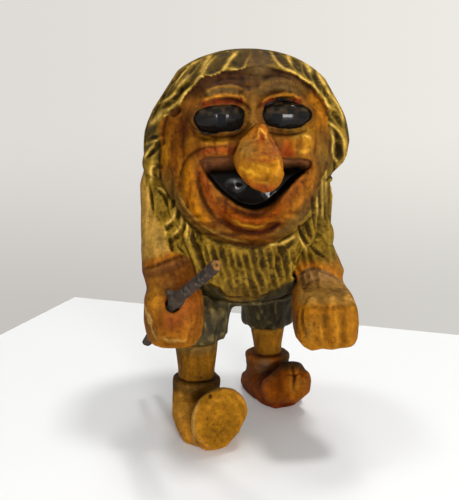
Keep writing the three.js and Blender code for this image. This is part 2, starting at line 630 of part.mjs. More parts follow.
// Eyes: almond inlays let into the sockets
function eye(side, grow) {
  const centre = [side * EYE_X, -EYE_FRONT + EYE_HALF_DEPTH, EYE_HEIGHT];
  return ellipsoid(centre, [EYE_HALF_WIDTH + grow, EYE_HALF_DEPTH + grow, EYE_HALF_HEIGHT + grow], 0, 16);
}

// Nose: a drooping bulb and its bridge, on a round peg
function nose(grow) {
  const wide = NOSE_HALF_WIDTH;
  const deep = NOSE_HALF_DEPTH;
  const tall = NOSE_HALF_HEIGHT;
  const lobe = (side, back, up, share, tilt, sides) => {
    const centre = [side * wide, -NOSE_FRONT + back * deep, NOSE_HEIGHT + up * tall];
    const radii = [share[0] * wide + grow, share[1] * deep + grow, share[2] * tall + grow];
    return ellipsoid(centre, radii, tilt, sides);
  };
  const bulb = lobe(0.05, 1.1, 0, [1, 1, 1], 0, 18);
  const tip = lobe(0.11, 0.62, -0.47, [0.72, 0.62, 0.53], 0, 14);
  const bridge = lobe(-0.03, 1.71, 0.84, [0.56, 0.57, 0.84], -0.35, 14);
  const pegFrom = at(0, -NOSE_FRONT + 1.4 * deep, NOSE_HEIGHT);
  const pegTo = at(0, -FACE_RELIEF + NOSE_PEG_RADIUS + NOSE_PEG_DEPTH + grow, NOSE_HEIGHT);
  return bulb.add(tip).add(bridge).add(bar(pegFrom, pegTo, NOSE_PEG_RADIUS + grow));
}

// Head: hair and mane round the face, in one block
function head() {
  const rimSlope = (HAIR_FRONT_AT_CROWN - HAIR_FRONT_AT_RIM) / HAIR_HALF_HEIGHT;
  const rimPlane = beyond(at(0, -HAIR_FRONT_AT_RIM, HAIR_CENTRE_Z), at(0, -1, -rimSlope));
  const hair = hairMass().subtract(rimPlane).subtract(faceOpening());
  const maneY = (MANE_BACK - MANE_FRONT) / 2;
  const maneDepth = (MANE_BACK + MANE_FRONT) / 2;
  const mane = loft([
    { x: HAIR_CENTRE_X / 2, y: maneY, z: NECK_HEIGHT, rx: MANE_HALF_WIDTH - 1, ry: maneDepth },
    { x: HAIR_CENTRE_X / 2, y: maneY, z: NECK_HEIGHT + 6, rx: MANE_HALF_WIDTH, ry: maneDepth + 0.5 },
    { x: HAIR_CENTRE_X / 2, y: maneY + 1, z: HAIR_CENTRE_Z - 16, rx: MANE_HALF_WIDTH + 1, ry: maneDepth - 1 },
    { x: HAIR_CENTRE_X / 2, y: maneY + 2, z: HAIR_CENTRE_Z - 4, rx: MANE_HALF_WIDTH - 1, ry: maneDepth - 5 },
  ], 2.5, LOCK_SIDES, lockHollow);
  let block = hair.add(mane).add(faceRelief()).subtract(mouthCut()).subtract(below(NECK_HEIGHT));
  const cutters = [eye(-1, GLUE_GAP), eye(1, GLUE_GAP), nose(GLUE_GAP), neckDowel.bore, ...armHousings];
  cutters.forEach((cutter) => (block = block.subtract(cutter)));
  return block;
}

const figure = new THREE.Group();
figure.add(
  piece("head", head(), OLIVE),
  piece("nose", nose(0), OCHRE),
  piece("right_eye", eye(-1, 0), LACQUER_BLACK),
  piece("left_eye", eye(1, 0), LACQUER_BLACK),
  piece("torso", torso(), OLIVE),
  piece("right_arm", arm(rightArmSections, wristDowels[0], shoulderDowels[0]), OCHRE),
  piece("left_arm", arm(leftArmSections, wristDowels[1], shoulderDowels[1]), OCHRE),
  piece("right_hand", rightHand(), OCHRE),
  piece("left_hand", leftHand(), OCHRE),
  piece("breeches", breeches(), TROUSER_GREY),
  piece("right_leg", leg(RIGHT_ANKLE, legDowels[0]), OCHRE),
  piece("left_leg", leg(LEFT_ANKLE, legDowels[1]), OCHRE),
  placedBoot("right_boot", RIGHT_ANKLE, RIGHT_BOOT_TURN, facetedBoot()),
  placedBoot("left_boot", LEFT_ANKLE, LEFT_BOOT_TURN, boot(LEFT_BOOT_REACH, LEFT_TOE)),
  piece("staff", staff(), BARK),
  piece("neck_dowel", neckDowel.body, BARE_PINE),
);
["right", "left"].forEach((side, index) => {
  figure.add(
    piece(`${side}_shoulder_dowel`, shoulderDowels[index].body, BARE_PINE),
    piece(`${side}_wrist_dowel`, wristDowels[index].body, BARE_PINE),
    piece(`${side}_waist_dowel`, waistDowels[index].body, BARE_PINE),
    piece(`${side}_leg_dowel`, legDowels[index].body, BARE_PINE),
  );
});

// The part's frame: on the floor, under the middle of the outline
const outline = new THREE.Box3().setFromObject(figure, true);
const middle = outline.getCenter(new THREE.Vector3());
figure.position.set(-middle.x, -middle.y, -outline.min.z);

const part = new THREE.Group();
part.add(figure);

export default part;
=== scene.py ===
import math

import bmesh
import bpy
import numpy as np
import openvdb as vdb
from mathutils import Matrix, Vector


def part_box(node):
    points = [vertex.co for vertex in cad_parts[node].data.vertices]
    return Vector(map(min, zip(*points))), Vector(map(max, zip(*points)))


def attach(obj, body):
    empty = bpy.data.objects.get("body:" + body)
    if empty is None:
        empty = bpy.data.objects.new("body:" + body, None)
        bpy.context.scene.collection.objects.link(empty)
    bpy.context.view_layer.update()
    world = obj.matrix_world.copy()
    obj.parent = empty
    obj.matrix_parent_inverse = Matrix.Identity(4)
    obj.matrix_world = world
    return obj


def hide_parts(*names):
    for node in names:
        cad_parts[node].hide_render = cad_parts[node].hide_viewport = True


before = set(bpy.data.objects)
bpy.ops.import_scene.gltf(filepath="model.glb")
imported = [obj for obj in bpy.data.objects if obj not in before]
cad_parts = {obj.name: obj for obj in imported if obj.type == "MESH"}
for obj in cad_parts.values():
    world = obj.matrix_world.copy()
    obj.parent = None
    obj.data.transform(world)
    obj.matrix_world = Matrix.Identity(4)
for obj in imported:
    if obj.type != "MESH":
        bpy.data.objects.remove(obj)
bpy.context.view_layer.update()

# The figure's own frame, in millimetres: on the floor, with the neck dowel's axis over x 0 and y NECK_Y
MM = 0.001
NECK_Y = 3.0
neck_low, neck_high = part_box("neck_dowel")
neck_middle = (np.array(neck_low) + np.array(neck_high)) / 2
ORIGIN = np.array([neck_middle[0], neck_middle[1] - NECK_Y * MM, 0.0])
NECK_SEAM = 71.85
CUFF_SEAM = 60.35

# Sizes of the carving, in millimetres
HAIR_CENTRE = np.array([0.8, 3.0, 108.0])
HAIR_RADII = np.array([41.0, 38.0, 40.0])
HAIR_LOWER_HEIGHT = 18.0
HAIR_SQUARENESS = 2.2
HAIR_FRONT = 15.0
HAIR_LEAN = 0.3
HAIR_INSET = 0.1
EYE_X = 12.0
EYE_Z = 122.5
EYE_Y = -22.7
EYE_RADII = np.array([10.2, 5.5, 5.6])
EYE_SQUARENESS = 2.15
FACE_MIDDLE_Z = 104.5
FACE_HALF_WIDTH = 36.0
FACE_UPPER_HEIGHT = 41.5
FACE_LOWER_HEIGHT = 35.5
FACE_DEPTH = 30.0
FACE_SQUARENESS = 2.6
FACE_BACK_Y = -6.0
RIGHT_SHIN = (-20.5, -10.0)
LEFT_SHIN = (12.0, 16.0)
SHIN_RADIUS = 7.0
BOOT_TOP_Z = 18.4
BOOT_GROOVE_Z = 15.2
UP = (0, 0, 1)

# Room between pieces, in millimetres
GLUE_GAP = 0.12
DOWEL_GAP = 0.2
STAFF_GAP = 0.45
BOOT_GAP = 0.1

# Grid steps of the blocks, in millimetres, and how many cells deep their distances are true
WOOD_STEP = 0.4
BREECHES_STEP = 0.45
NOSE_STEP = 0.35
FINE_STEP = 0.3
DOWEL_STEP = 0.5
BAND = 8
DEEP_BAND = 40

# Steps of a ray towards a surface, and where rays from the camera start and end, in millimetres
RAY_STEPS = 44
RAY_SHARE = 0.9
RAY_BACK = -0.4
RAY_AHEAD = 4
RAY_HIT = 0.4
VIEW_START = 210
VIEW_REACH = 140
FAR = 1e9

# Knife strokes and roughness, in millimetres. A blade may cut deeper than meant by its slack.
STROKE_LIFT = 3
STROKE_REACH = 7
BLADE_SLACK = 0.7
ROUGH_REACH = 3

# A drawn line has so many points, and a block that shows too few of them isn't cut
LINE_POINTS = 9
TOO_FEW_POINTS = 3

# Chance
SEED = 11
KNIFE_SCATTER = 0.18
HASH_PRIMES = (73856093, 19349663, 83492791)
HASH_STIR = 1274126177

# Camera. Details of the carving are given where it sees them, in points of the picture.
CAMERA = np.array([-30.3, -288.4, 130.0])
PITCH = math.radians(12)
FOCAL_PX = 726.05
SENSOR_MM = 36
PICTURE = np.array([459, 500])
MIDDLE = PICTURE / 2
AXIS_PX = 245.0
heading = math.atan2(-CAMERA[0], -CAMERA[1]) - math.atan((AXIS_PX - MIDDLE[0]) / FOCAL_PX)
LOOK = np.array([math.sin(heading) * math.cos(PITCH), math.cos(heading) * math.cos(PITCH), -math.sin(PITCH)])
ASIDE = np.array([math.cos(heading), -math.sin(heading), 0.0])
ABOVE = np.cross(ASIDE, LOOK)

rng = np.random.default_rng(SEED)


def metres(x, y, z):
    """A place of the figure's frame in the scene's metres."""
    return Vector(ORIGIN + np.array([x, y, z]) * MM)


def sight(spots):
    """Directions from the camera through points of the picture."""
    offset = np.asarray(spots, dtype=float) - MIDDLE
    out = LOOK * FOCAL_PX + offset[:, :1] * ASIDE - offset[:, 1:] * ABOVE
    return out / np.linalg.norm(out, axis=1, keepdims=True)


def seen(points):
    """Where points show in the picture."""
    offset = np.asarray(points) - CAMERA
    scale = FOCAL_PX / (offset @ LOOK)
    return MIDDLE + np.stack([(offset @ ASIDE) * scale, -(offset @ ABOVE) * scale], axis=-1)


def smooth(low, high, value):
    """0 below low, 1 above high and a soft step between them."""
    share = np.clip((value - low) / (high - low), 0, 1)
    return share * share * (3 - 2 * share)


def lattice(cell):
    """Random values from 0 to 1 on whole-number places."""
    x, y, z = (cell[..., axis] * prime for axis, prime in enumerate(HASH_PRIMES))
    mixed = x ^ y ^ z
    mixed = (mixed ^ (mixed >> 13)) * HASH_STIR
    return ((mixed >> 9) & 0xFFFF) / 65535.0


def mottle(points, size, seed=0):
    """Smooth random values from 0 to 1, in spots of about size mm."""
    place = np.asarray(points) / size + seed * 31.7
    cell = np.floor(place).astype(np.int64)
    share = place - cell
    share = share * share * (3 - 2 * share)
    total = np.zeros(place.shape[:-1])
    for corner in np.ndindex(2, 2, 2):
        weight = np.ones(place.shape[:-1])
        for axis in range(3):
            weight = weight * (share[..., axis] if corner[axis] else 1 - share[..., axis])
        total += weight * lattice(cell + np.array(corner))
    return total


def rounded(squareness, *shares):
    """A sum that is 1 on a rounded box and less in it. Each share is an offset over a half width."""
    return sum(np.abs(share) ** squareness for share in shares)


def cushion(depth, squareness, *shares):
    """Heights of a rounded cushion."""
    return depth * np.maximum(1 - rounded(squareness, *shares), 0) ** (1 / squareness)


def ramp(value, gain, start):
    """0 up to a start and then rising with a gain up to 1."""
    return np.clip(value * gain - start, 0, 1)


def curve(points, count):
    """A smooth line of count points through a few given ones."""
    points = np.asarray(points, dtype=float)
    padded = np.vstack([2 * points[0] - points[1], points, 2 * points[-1] - points[-2]])
    place = np.linspace(0, len(points) - 1, count)
    index = np.minimum(place.astype(int), len(points) - 2)
    t = (place - index)[:, None]
    before, start, end, after = (padded[index + step] for step in range(4))
    straight = 2 * start + (end - before) * t
    bent = (2 * before - 5 * start + 4 * end - after) * t**2 + (3 * start - before - 3 * end + after) * t**3
    return (straight + bent) / 2


class Canvas:
    """Soft spots, lines and outlines over places in the picture."""

    def __init__(self, spots):
        self.u = spots[..., 0]
        self.v = spots[..., 1]

    def spot(self, u, v, wide, tall):
        """A soft oval, 1 in its middle."""
        return np.exp(-(((self.u - u) / wide) ** 2) - ((self.v - v) / tall) ** 2)

    def gap(self, path):
        """Distances to a line, and how far along it the nearest point is."""
        best = np.full(self.u.shape, FAR)
        along = np.zeros(self.u.shape)
        count = len(path) - 1
        for index in range(count):
            (au, av), (bu, bv) = path[index], path[index + 1]
            square = max((bu - au) ** 2 + (bv - av) ** 2, 1e-9)
            run = np.clip(((self.u - au) * (bu - au) + (self.v - av) * (bv - av)) / square, 0, 1)
            gap = np.hypot(self.u - au - run * (bu - au), self.v - av - run * (bv - av))
            closer = gap < best
            best[closer] = gap[closer]
            along[closer] = (index + run[closer]) / count
        return best, along

    def line(self, points, wide, count=24):
        """A soft line through points, 1 on it, that fades at its ends."""
        gap, along = self.gap(curve(points, count))
        return np.exp(-((gap / wide) ** 2)) * np.minimum(1, 0.35 + 5 * np.minimum(along, 1 - along))

    def edge(self, points, count=150):
        """Distances to a closed outline, negative inside."""
        path = curve(list(points) + [points[0]], count)
        path[-1] = path[0]
        gap = self.gap(path)[0]
        inside = np.zeros(self.u.shape, dtype=bool)
        for (au, av), (bu, bv) in zip(path[:-1], path[1:]):
            if av != bv:
                crossing = (bu - au) * (self.v - av) / (bv - av) + au
                inside ^= ((av > self.v) != (bv > self.v)) & (self.u < crossing)
        return np.where(inside, -gap, gap)


class Block:
    """A block of wood that tools can cut into: distances to its surface in mm on a grid, negative inside."""

    def __init__(self, nodes, voxel, layers=BAND, pad=6):
        self.voxel = voxel
        self.band = layers * voxel * 0.98
        shells = [cad_shell(node) for node in nodes]
        every = np.vstack([points for points, faces in shells])
        self.first = np.floor(every.min(axis=0) / voxel).astype(int) - pad
        shape = np.ceil(every.max(axis=0) / voxel).astype(int) + pad + 1 - self.first
        self.field = np.full(shape, layers * voxel, dtype=np.float32)
        for points, faces in shells:
            grid = vdb.FloatGrid.createLevelSetFromPolygons(
                points,
                triangles=faces,
                transform=vdb.createLinearTransform(voxelSize=voxel),
                halfWidth=layers,
            )
            layer = np.zeros(shape, dtype=np.float32)
            grid.copyToArray(layer, ijk=tuple(int(i) for i in self.first))
            self.field = np.minimum(self.field, layer)

    def axes(self):
        """Places of the grid's planes along x, y and z."""
        return [(np.arange(n) + start) * self.voxel for n, start in zip(self.field.shape, self.first)]

    def places(self, window=None):
        """Positions of the grid's points, or of those in a window of index ranges."""
        axes = self.axes()
        if window:
            axes = [axis[span] for axis, span in zip(axes, window)]
        return np.stack(np.meshgrid(*axes, indexing="ij"), axis=-1)

    def window(self, low, high):
        """Index ranges of the grid between two corners, or None where they miss it."""
        start = np.floor(np.asarray(low) / self.voxel).astype(int) - self.first
        start = np.maximum(start, 0)
        stop = np.ceil(np.asarray(high) / self.voxel).astype(int) - self.first + 1
        stop = np.minimum(stop, self.field.shape)
        if (stop <= start).any():
            return None
        return tuple(slice(int(a), int(b)) for a, b in zip(start, stop))

    def sample(self, points, field=None):
        """Values at points, between those of the grid."""
        field = self.field if field is None else field
        limit = np.array(field.shape) - 1.001
        place = np.clip(np.asarray(points) / self.voxel - self.first, 0, limit)
        cell = place.astype(int)
        share = place - cell
        total = np.zeros(place.shape[:-1])
        for i, j, k in np.ndindex(2, 2, 2):
            weight = np.abs(1 - i - share[..., 0]) * np.abs(1 - j - share[..., 1])
            weight = weight * np.abs(1 - k - share[..., 2])
            total += weight * field[cell[..., 0] + i, cell[..., 1] + j, cell[..., 2] + k]
        return total

    def slope(self, points):
        """Directions straight out of the surface."""
        points = np.asarray(points, dtype=float)
        step = np.eye(3) * self.voxel * 1.5
        out = np.stack([self.sample(points + s) - self.sample(points - s) for s in step], axis=-1)
        return out / np.maximum(np.linalg.norm(out, axis=-1, keepdims=True), 1e-6)

    def hit(self, starts, towards, reach):
        """Where rays from outside first meet the surface, and which of them do."""
        starts = np.asarray(starts, dtype=float)
        towards = np.asarray(towards, dtype=float)
        towards = towards / np.linalg.norm(towards, axis=-1, keepdims=True)
        gone = np.zeros(len(starts))
        for _ in range(RAY_STEPS):
            gap = self.sample(starts + towards * gone[:, None])
            gone += np.clip(gap, RAY_BACK, RAY_AHEAD) * RAY_SHARE
        points = starts + towards * gone[:, None]
        return points, (gone < reach) & (np.abs(self.sample(points)) < RAY_HIT)

    def find(self, spots):
        """Points of the surface that show at points of the picture, and which of them do."""
        towards = sight(spots)
        return self.hit(CAMERA + towards * VIEW_START, towards, VIEW_REACH)

    def gouge(self, path, radii):
        """Cuts a round channel along a line of middles."""
        for start, end, r0, r1 in zip(path[:-1], path[1:], radii[:-1], radii[1:]):
            reach = max(r0, r1) + self.voxel
            span = self.window(np.minimum(start, end) - reach, np.maximum(start, end) + reach)
            if span is None:
                continue
            x, y, z = (axis[part] for axis, part in zip(self.axes(), span))
            dx = (x - start[0])[:, None, None]
            dy = (y - start[1])[None, :, None]
            dz = (z - start[2])[None, None, :]
            along = end - start
            share = np.clip((dx * along[0] + dy * along[1] + dz * along[2]) / max(along @ along, 1e-6), 0, 1)
            gap = (dx - share * along[0]) ** 2 + (dy - share * along[1]) ** 2 + (dz - share * along[2]) ** 2
            cut = r0 + (r1 - r0) * share - np.sqrt(gap)
            self.field[span] = np.maximum(self.field[span], cut)

    def scoop(self, path, width, depth, fade=0.5):
        """Cuts a channel into the surface along a line on it, shallow at both ends."""
        count = len(path)
        if count < 2:
            return
        width = np.broadcast_to(np.asarray(width, dtype=float), count)
        depth = np.broadcast_to(np.asarray(depth, dtype=float), count)
        radius = (width**2 / 4 + depth**2) / (2 * depth)
        run = np.sin(np.pi * (np.arange(count) + 0.35) / (count - 0.3)) ** fade
        middles = path + self.slope(path) * (radius - depth * run)[:, None]
        reach = np.minimum(radius, self.band)
        if (self.sample(middles) > reach - depth - BLADE_SLACK).all():
            self.gouge(middles, radius)

    def swell(self, centre, radii, blend):
        """Adds a rounded lump that flows into the block."""
        centre = np.asarray(centre, dtype=float)
        radii = np.asarray(radii, dtype=float)
        reach = radii + 3 * blend
        span = self.window(centre - reach, centre + reach)
        offset = self.places(span) - centre
        near = np.maximum(np.linalg.norm(offset / radii, axis=-1), 1e-3)
        steep = np.maximum(np.linalg.norm(offset / radii**2, axis=-1), 1e-3)
        lump = near * (near - 1) / steep
        old = self.field[span]
        share = np.clip(0.5 + 0.5 * (old - lump) / blend, 0, 1)
        self.field[span] = old * (1 - share) + lump * share - blend * share * (1 - share)

    def swell_at(self, spots, shift, radii, blend):
        """Adds lumps at points of the picture, each shifted from the surface there."""
        points, met = self.find(spots)
        for point in points[met]:
            self.swell(point + shift, radii, blend)

    def flat(self, spot, depth, lean):
        """Slices a flat off the surface at a point of the picture."""
        points, met = self.find([spot])
        if met[0]:
            out = self.slope(points)[0] + np.asarray(lean)
            out /= np.linalg.norm(out)
            self.keep((self.places() - points[0]) @ out + depth)

    def trim(self, outline, low=-FAR, high=FAR):
        """Planes the block down to lines of the picture, anticlockwise round it, between two heights."""
        places = self.places()
        limit = np.minimum(places[..., 2] - low, high - places[..., 2])
        for pair in zip(outline[:-1], outline[1:]):
            first, second = sight(pair)
            out = np.cross(first, second)
            self.keep(np.minimum((places - CAMERA) @ (out / np.linalg.norm(out)), limit))

    def join(self, height, reach):
        """Closes the seam at a height, with a slope from reach below it to reach above it."""
        z = self.axes()[2]
        low = np.searchsorted(z, height - reach) - 1
        high = np.searchsorted(z, height + reach)
        for k in range(low + 1, high):
            share = (k - low) / (high - low)
            self.field[:, :, k] = self.field[:, :, low] * (1 - share) + self.field[:, :, high] * share

    def soften(self, passes):
        """Rounds the edges off."""
        self.field = softened(self.field, passes)

    def clear(self, other, gap):
        """Keeps this block clear of another one."""
        low = other.first * other.voxel
        high = low + (np.array(other.field.shape) - 1) * other.voxel
        span = self.window(low, high)
        if span is not None:
            self.field[span] = np.maximum(self.field[span], gap - other.sample(self.places(span)))

    def keep(self, cut):
        """Takes away what lies where cut is over 0."""
        self.field = np.maximum(self.field, cut).astype(np.float32)

    def shell(self):
        """Points and four-sided faces of the surface, without crumbs, facing out."""
        grid = vdb.FloatGrid(float(BAND * self.voxel))
        grid.transform = vdb.createLinearTransform(voxelSize=self.voxel)
        field = np.ascontiguousarray(self.field, dtype=np.float32)
        grid.copyFromArray(field, ijk=tuple(int(i) for i in self.first))
        points, quads = grid.convertToQuads(isovalue=0.0)
        points, quads = main_shell(np.asarray(points, dtype=float), np.asarray(quads, dtype=int))
        corner = points[quads]
        across = np.cross(corner[:, 2] - corner[:, 0], corner[:, 3] - corner[:, 1])
        if (across * corner.mean(axis=1)).sum() < 0:
            quads = quads[:, ::-1]
        return points, quads


def cad_shell(node):
    """Points in the figure's frame and triangles of a CAD node."""
    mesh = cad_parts[node].data
    mesh.calc_loop_triangles()
    points = np.empty(len(mesh.vertices) * 3)
    mesh.vertices.foreach_get("co", points)
    faces = np.empty(len(mesh.loop_triangles) * 3, dtype=np.int32)
    mesh.loop_triangles.foreach_get("vertices", faces)
    points = (points.reshape(-1, 3) - ORIGIN) / MM
    return points.astype(np.float32), faces.reshape(-1, 3).astype(np.uint32)


def softened(field, passes):
    """The field with its edges rounded off."""
    for _ in range(passes):
        for axis in range(3):
            layers = np.moveaxis(field, axis, 0)
            fresh = layers * 2
            fresh[1:] += layers[:-1]
            fresh[:1] += layers[:1]
            fresh[:-1] += layers[1:]
            fresh[-1:] += layers[-1:]
            field = np.moveaxis(fresh * 0.25, 0, axis)
    return np.ascontiguousarray(field, dtype=np.float32)


def spread(field, reach):
    """The field averaged over boxes of reach cells to each side, twice."""
    for axis in (0, 1, 2, 0, 1, 2):
        layers = np.moveaxis(field, axis, 0)
        padded = np.concatenate([layers[:1]] * (reach + 1) + [layers] + [layers[-1:]] * reach)
        total = np.cumsum(padded, axis=0, dtype=np.float64)
        field = np.moveaxis((total[2 * reach + 1:] - total[:-2 * reach - 1]) / (2 * reach + 1), 0, axis)
    return np.ascontiguousarray(field, dtype=np.float32)


def main_shell(points, quads):
    """The largest connected surface of several."""
    label = np.arange(len(points))
    ends = np.vstack([quads[:, [0, 1]], quads[:, [1, 2]], quads[:, [2, 3]], quads[:, [3, 0]]])
    while True:
        lowest = np.minimum(label[ends[:, 0]], label[ends[:, 1]])
        fresh = label.copy()
        np.minimum.at(fresh, ends[:, 0], lowest)
        np.minimum.at(fresh, ends[:, 1], lowest)
        fresh = fresh[fresh]
        if (fresh == label).all():
            break
        label = fresh
    names, counts = np.unique(label, return_counts=True)
    kept = label == names[counts.argmax()]
    fresh_index = np.cumsum(kept) - 1
    return points[kept], fresh_index[quads[kept[quads[:, 0]]]]


def strokes(block, points, directions, length, width, depth, steps=6):
    """Knife strokes along the surface through points, left out where the blade would run into the wood."""
    normals = block.slope(points)
    along = directions - normals * (directions * normals).sum(axis=1, keepdims=True)
    along /= np.maximum(np.linalg.norm(along, axis=1, keepdims=True), 1e-6)
    place = np.linspace(-0.5, 0.5, steps)
    run = place[None, :, None] * np.broadcast_to(length, len(points))[:, None, None]
    lines = points[:, None] + run * along[:, None]
    towards = np.broadcast_to(-normals[:, None], lines.shape).reshape(-1, 3)
    paths, met = block.hit(lines.reshape(-1, 3) - towards * STROKE_LIFT, towards, STROKE_REACH)
    paths = paths.reshape(lines.shape)
    met = met.reshape(lines.shape[:2])
    widths = np.broadcast_to(width, len(points))
    for path, good, wide in zip(paths, met, widths):
        block.scoop(path[good], wide, depth)


def whittle(block, count, direction, length, width, depth, where=None):
    """Leaves the shallow flats of many knife strokes, at random over the surface."""
    points, quads = block.shell()
    if where is not None:
        points = points[where(points)]
    points = points[rng.integers(0, len(points), count)]
    leans = np.asarray(direction, dtype=float) + rng.normal(0, KNIFE_SCATTER, (count, 3))
    lengths = length * rng.uniform(0.7, 1.3, count)
    strokes(block, points, leans, lengths, width * rng.uniform(0.7, 1.2, count), depth)


def roughen(block, size, height, seed, stretch=(1, 1, 1)):
    """Lets the surface rise and fall at random."""
    near = np.abs(block.field) < ROUGH_REACH
    points = block.places()[near] / np.asarray(stretch)
    block.field[near] += height * (mottle(points, size, seed) - 0.5)


def draw(blocks, lines):
    """Cuts lines, each with points of the picture, a width and a depth, into whichever block shows there."""
    for points, width, depth in lines:
        spots = curve(points, LINE_POINTS)
        found = [block.find(spots) for block in blocks]
        far = np.array([np.where(met, np.linalg.norm(path - CAMERA, axis=1), FAR) for path, met in found])
        first = far.argmin(axis=0)
        for index, block in enumerate(blocks):
            path, met = found[index]
            shown = met & (first == index)
            if shown.sum() > TOO_FEW_POINTS:
                block.scoop(path[shown], width, depth)


# Face: its lines, as the camera sees them

HAIRLINE = [
    (262, 66), (254, 66), (246, 67), (238, 69.5), (225, 70.5), (213, 75), (203, 76.5), (196, 84),
    (189, 91), (184, 97), (180, 105), (172, 112), (165, 116.5), (160, 122), (158, 129), (160, 137),
    (161, 147), (160, 160), (161, 172), (163, 185), (170, 197), (178, 210), (189, 223), (202, 233),
    (216, 239.5), (232, 244), (249, 246), (265, 244.5), (280, 239), (293, 231), (304, 219), (313, 206),
    (319, 192), (322, 178), (327, 168), (332, 160), (331, 149), (331, 138), (328.5, 127), (328, 118),
    (328, 111), (325, 103), (321, 96), (314, 87), (306, 81), (297, 74.5), (288, 71.5), (280, 69),
    (271, 67),
]
RIGHT_EYE = [
    (193, 120), (197, 112), (206, 107.5), (216, 106), (227, 105), (237, 106), (243.5, 110), (244.5, 118),
    (241, 128), (234, 131.5), (224, 132), (213, 134), (204, 134), (198, 129),
]
LEFT_EYE = [
    (262, 113), (265, 105.5), (271, 101), (279, 98), (289, 99.5), (297, 103), (305, 106.5), (311, 111),
    (311.5, 118), (305, 123.5), (297, 128), (287, 128.5), (276, 127), (266, 123.5),
]
RIGHT_LID = [(203, 105), (207, 99.5), (216, 96.8), (226, 95.8), (236, 96.2), (242, 98.5), (245, 105)]
LEFT_LID = [(262, 108), (264.5, 101.5), (271, 97.5), (280, 94.8), (290, 95.2), (298, 98.5), (305, 104)]
RIGHT_BROW = [(206, 96), (211, 92.5), (221, 90.5), (232, 90.3), (242, 93)]
LEFT_BROW = [(257, 99), (262, 92.5), (271, 88.5), (281, 87.5), (291, 89.5), (301, 95)]
RIGHT_BROW_TOP = [(205, 93), (212, 88.5), (224, 86.3), (236, 86.8), (244, 89.5)]
LEFT_BROW_TOP = [(256, 93), (263, 85), (274, 81), (286, 80.8), (297, 85), (307, 93)]
RIGHT_BROW_HATCH = [(222, 80), (234, 78), (244, 79)]
LASHES = [(206, 104.5), (217, 102), (227.5, 101), (238, 102), (266, 105), (272.5, 100.5), (297, 101.5)]
LASH_SIZE = (4.6, 3.2)
BRIDGE = [(250, 86), (252, 102), (253, 118), (254, 132)]
MOUTH_TOP = [
    (199, 161), (206, 157.5), (216, 156.5), (240, 156), (262, 157), (285, 158), (303, 158), (311, 161),
]
MOUTH = MOUTH_TOP + [
    (310, 168), (303, 174), (295, 181), (287, 190), (277, 200), (266, 207.5), (254, 210), (242, 207),
    (230, 200), (219, 190.5), (211, 181), (204, 171),
]
RIGHT_ROLL = [
    (231, 151), (216, 151.5), (203, 154), (194, 160), (189, 170), (188, 185), (192, 200), (199, 213),
    (209, 224), (222, 232),
]
RIGHT_CREASE = [(231, 145.5), (215, 146), (202, 148.5), (192, 153.5), (185, 161), (181, 172), (180, 185)]
RIGHT_INNER_FOLD = [(199, 168), (199, 185), (204, 201), (213, 215), (226, 226)]
LEFT_ROLL = [
    (285, 152), (297, 154), (308, 157), (315, 164), (315, 174), (311, 186), (304, 198), (295, 209),
    (285, 219),
]
LEFT_CREASE = [(317, 157), (320, 168), (319, 181), (313, 194), (304, 207), (293, 219)]
INNER_LIP = [(219, 197), (230, 206), (243, 212.5), (256, 213.5), (266, 211), (276, 203.5), (286, 194)]
LOWER_LIP = [(224, 207), (234, 215.5), (246, 220.5), (257, 221.5), (267, 218.5), (277, 210), (285, 202)]
UNDER_LIP = [(220, 215), (232, 227), (247, 232), (260, 232.5), (271, 229), (281, 221)]
JAW = [(178, 190), (181, 201), (187, 210), (195, 219), (205, 227.5), (217, 234), (232, 239.5), (248, 242)]
RIGHT_SIDEBURN = [(168, 172), (171, 190), (178, 206), (190, 221), (204, 232), (222, 240), (244, 244)]
LEFT_SIDEBURN = [(323, 176), (318, 191), (309, 206), (298, 219), (285, 231), (268, 239)]
CHEEK_WART = (303, 141)
MOUTH_GLEAMS = [(236, 185, 9), (269, 194, 6)]
WRINKLES = [
    [(199, 139), (212, 141), (226, 139)],
    [(203, 145), (216, 147.5), (228, 146)],
    [(271, 131.5), (284, 133.5), (297, 132)],
    [(213, 82.5), (228, 79), (243, 80)],
    [(226, 75), (238, 73), (248, 75)],
    [(262, 79), (276, 75.5), (292, 79)],
    [(247, 84), (249.5, 92), (248, 101)],
    [(257, 83), (257.5, 92), (256, 100)],
    [(192, 104), (187, 113), (186, 124)],
    [(318, 112), (321, 122), (320, 133)],
]


class Relief(Canvas):
    """Heights of the face in front of the plane y = 0, over x and z."""

    def __init__(self, x, z):
        self.x, self.z = np.meshgrid(x, z, indexing="ij")
        across = self.x / FACE_HALF_WIDTH
        up = (self.z - FACE_MIDDLE_Z) / np.where(self.z > FACE_MIDDLE_Z, FACE_UPPER_HEIGHT, FACE_LOWER_HEIGHT)
        self.dome = cushion(FACE_DEPTH, FACE_SQUARENESS, across, up)
        self.height = self.dome
        self.look(self.height)

    def look(self, height):
        """Takes the picture's places of the surface at a height."""
        super().__init__(seen(np.stack([self.x, -height, self.z], axis=-1)))


def hatching(canvas):
    """Fine slanting strokes over the brows, from 0 to 1."""
    return 0.5 + 0.5 * np.sin(canvas.u * 2.3 + canvas.v * 0.5)


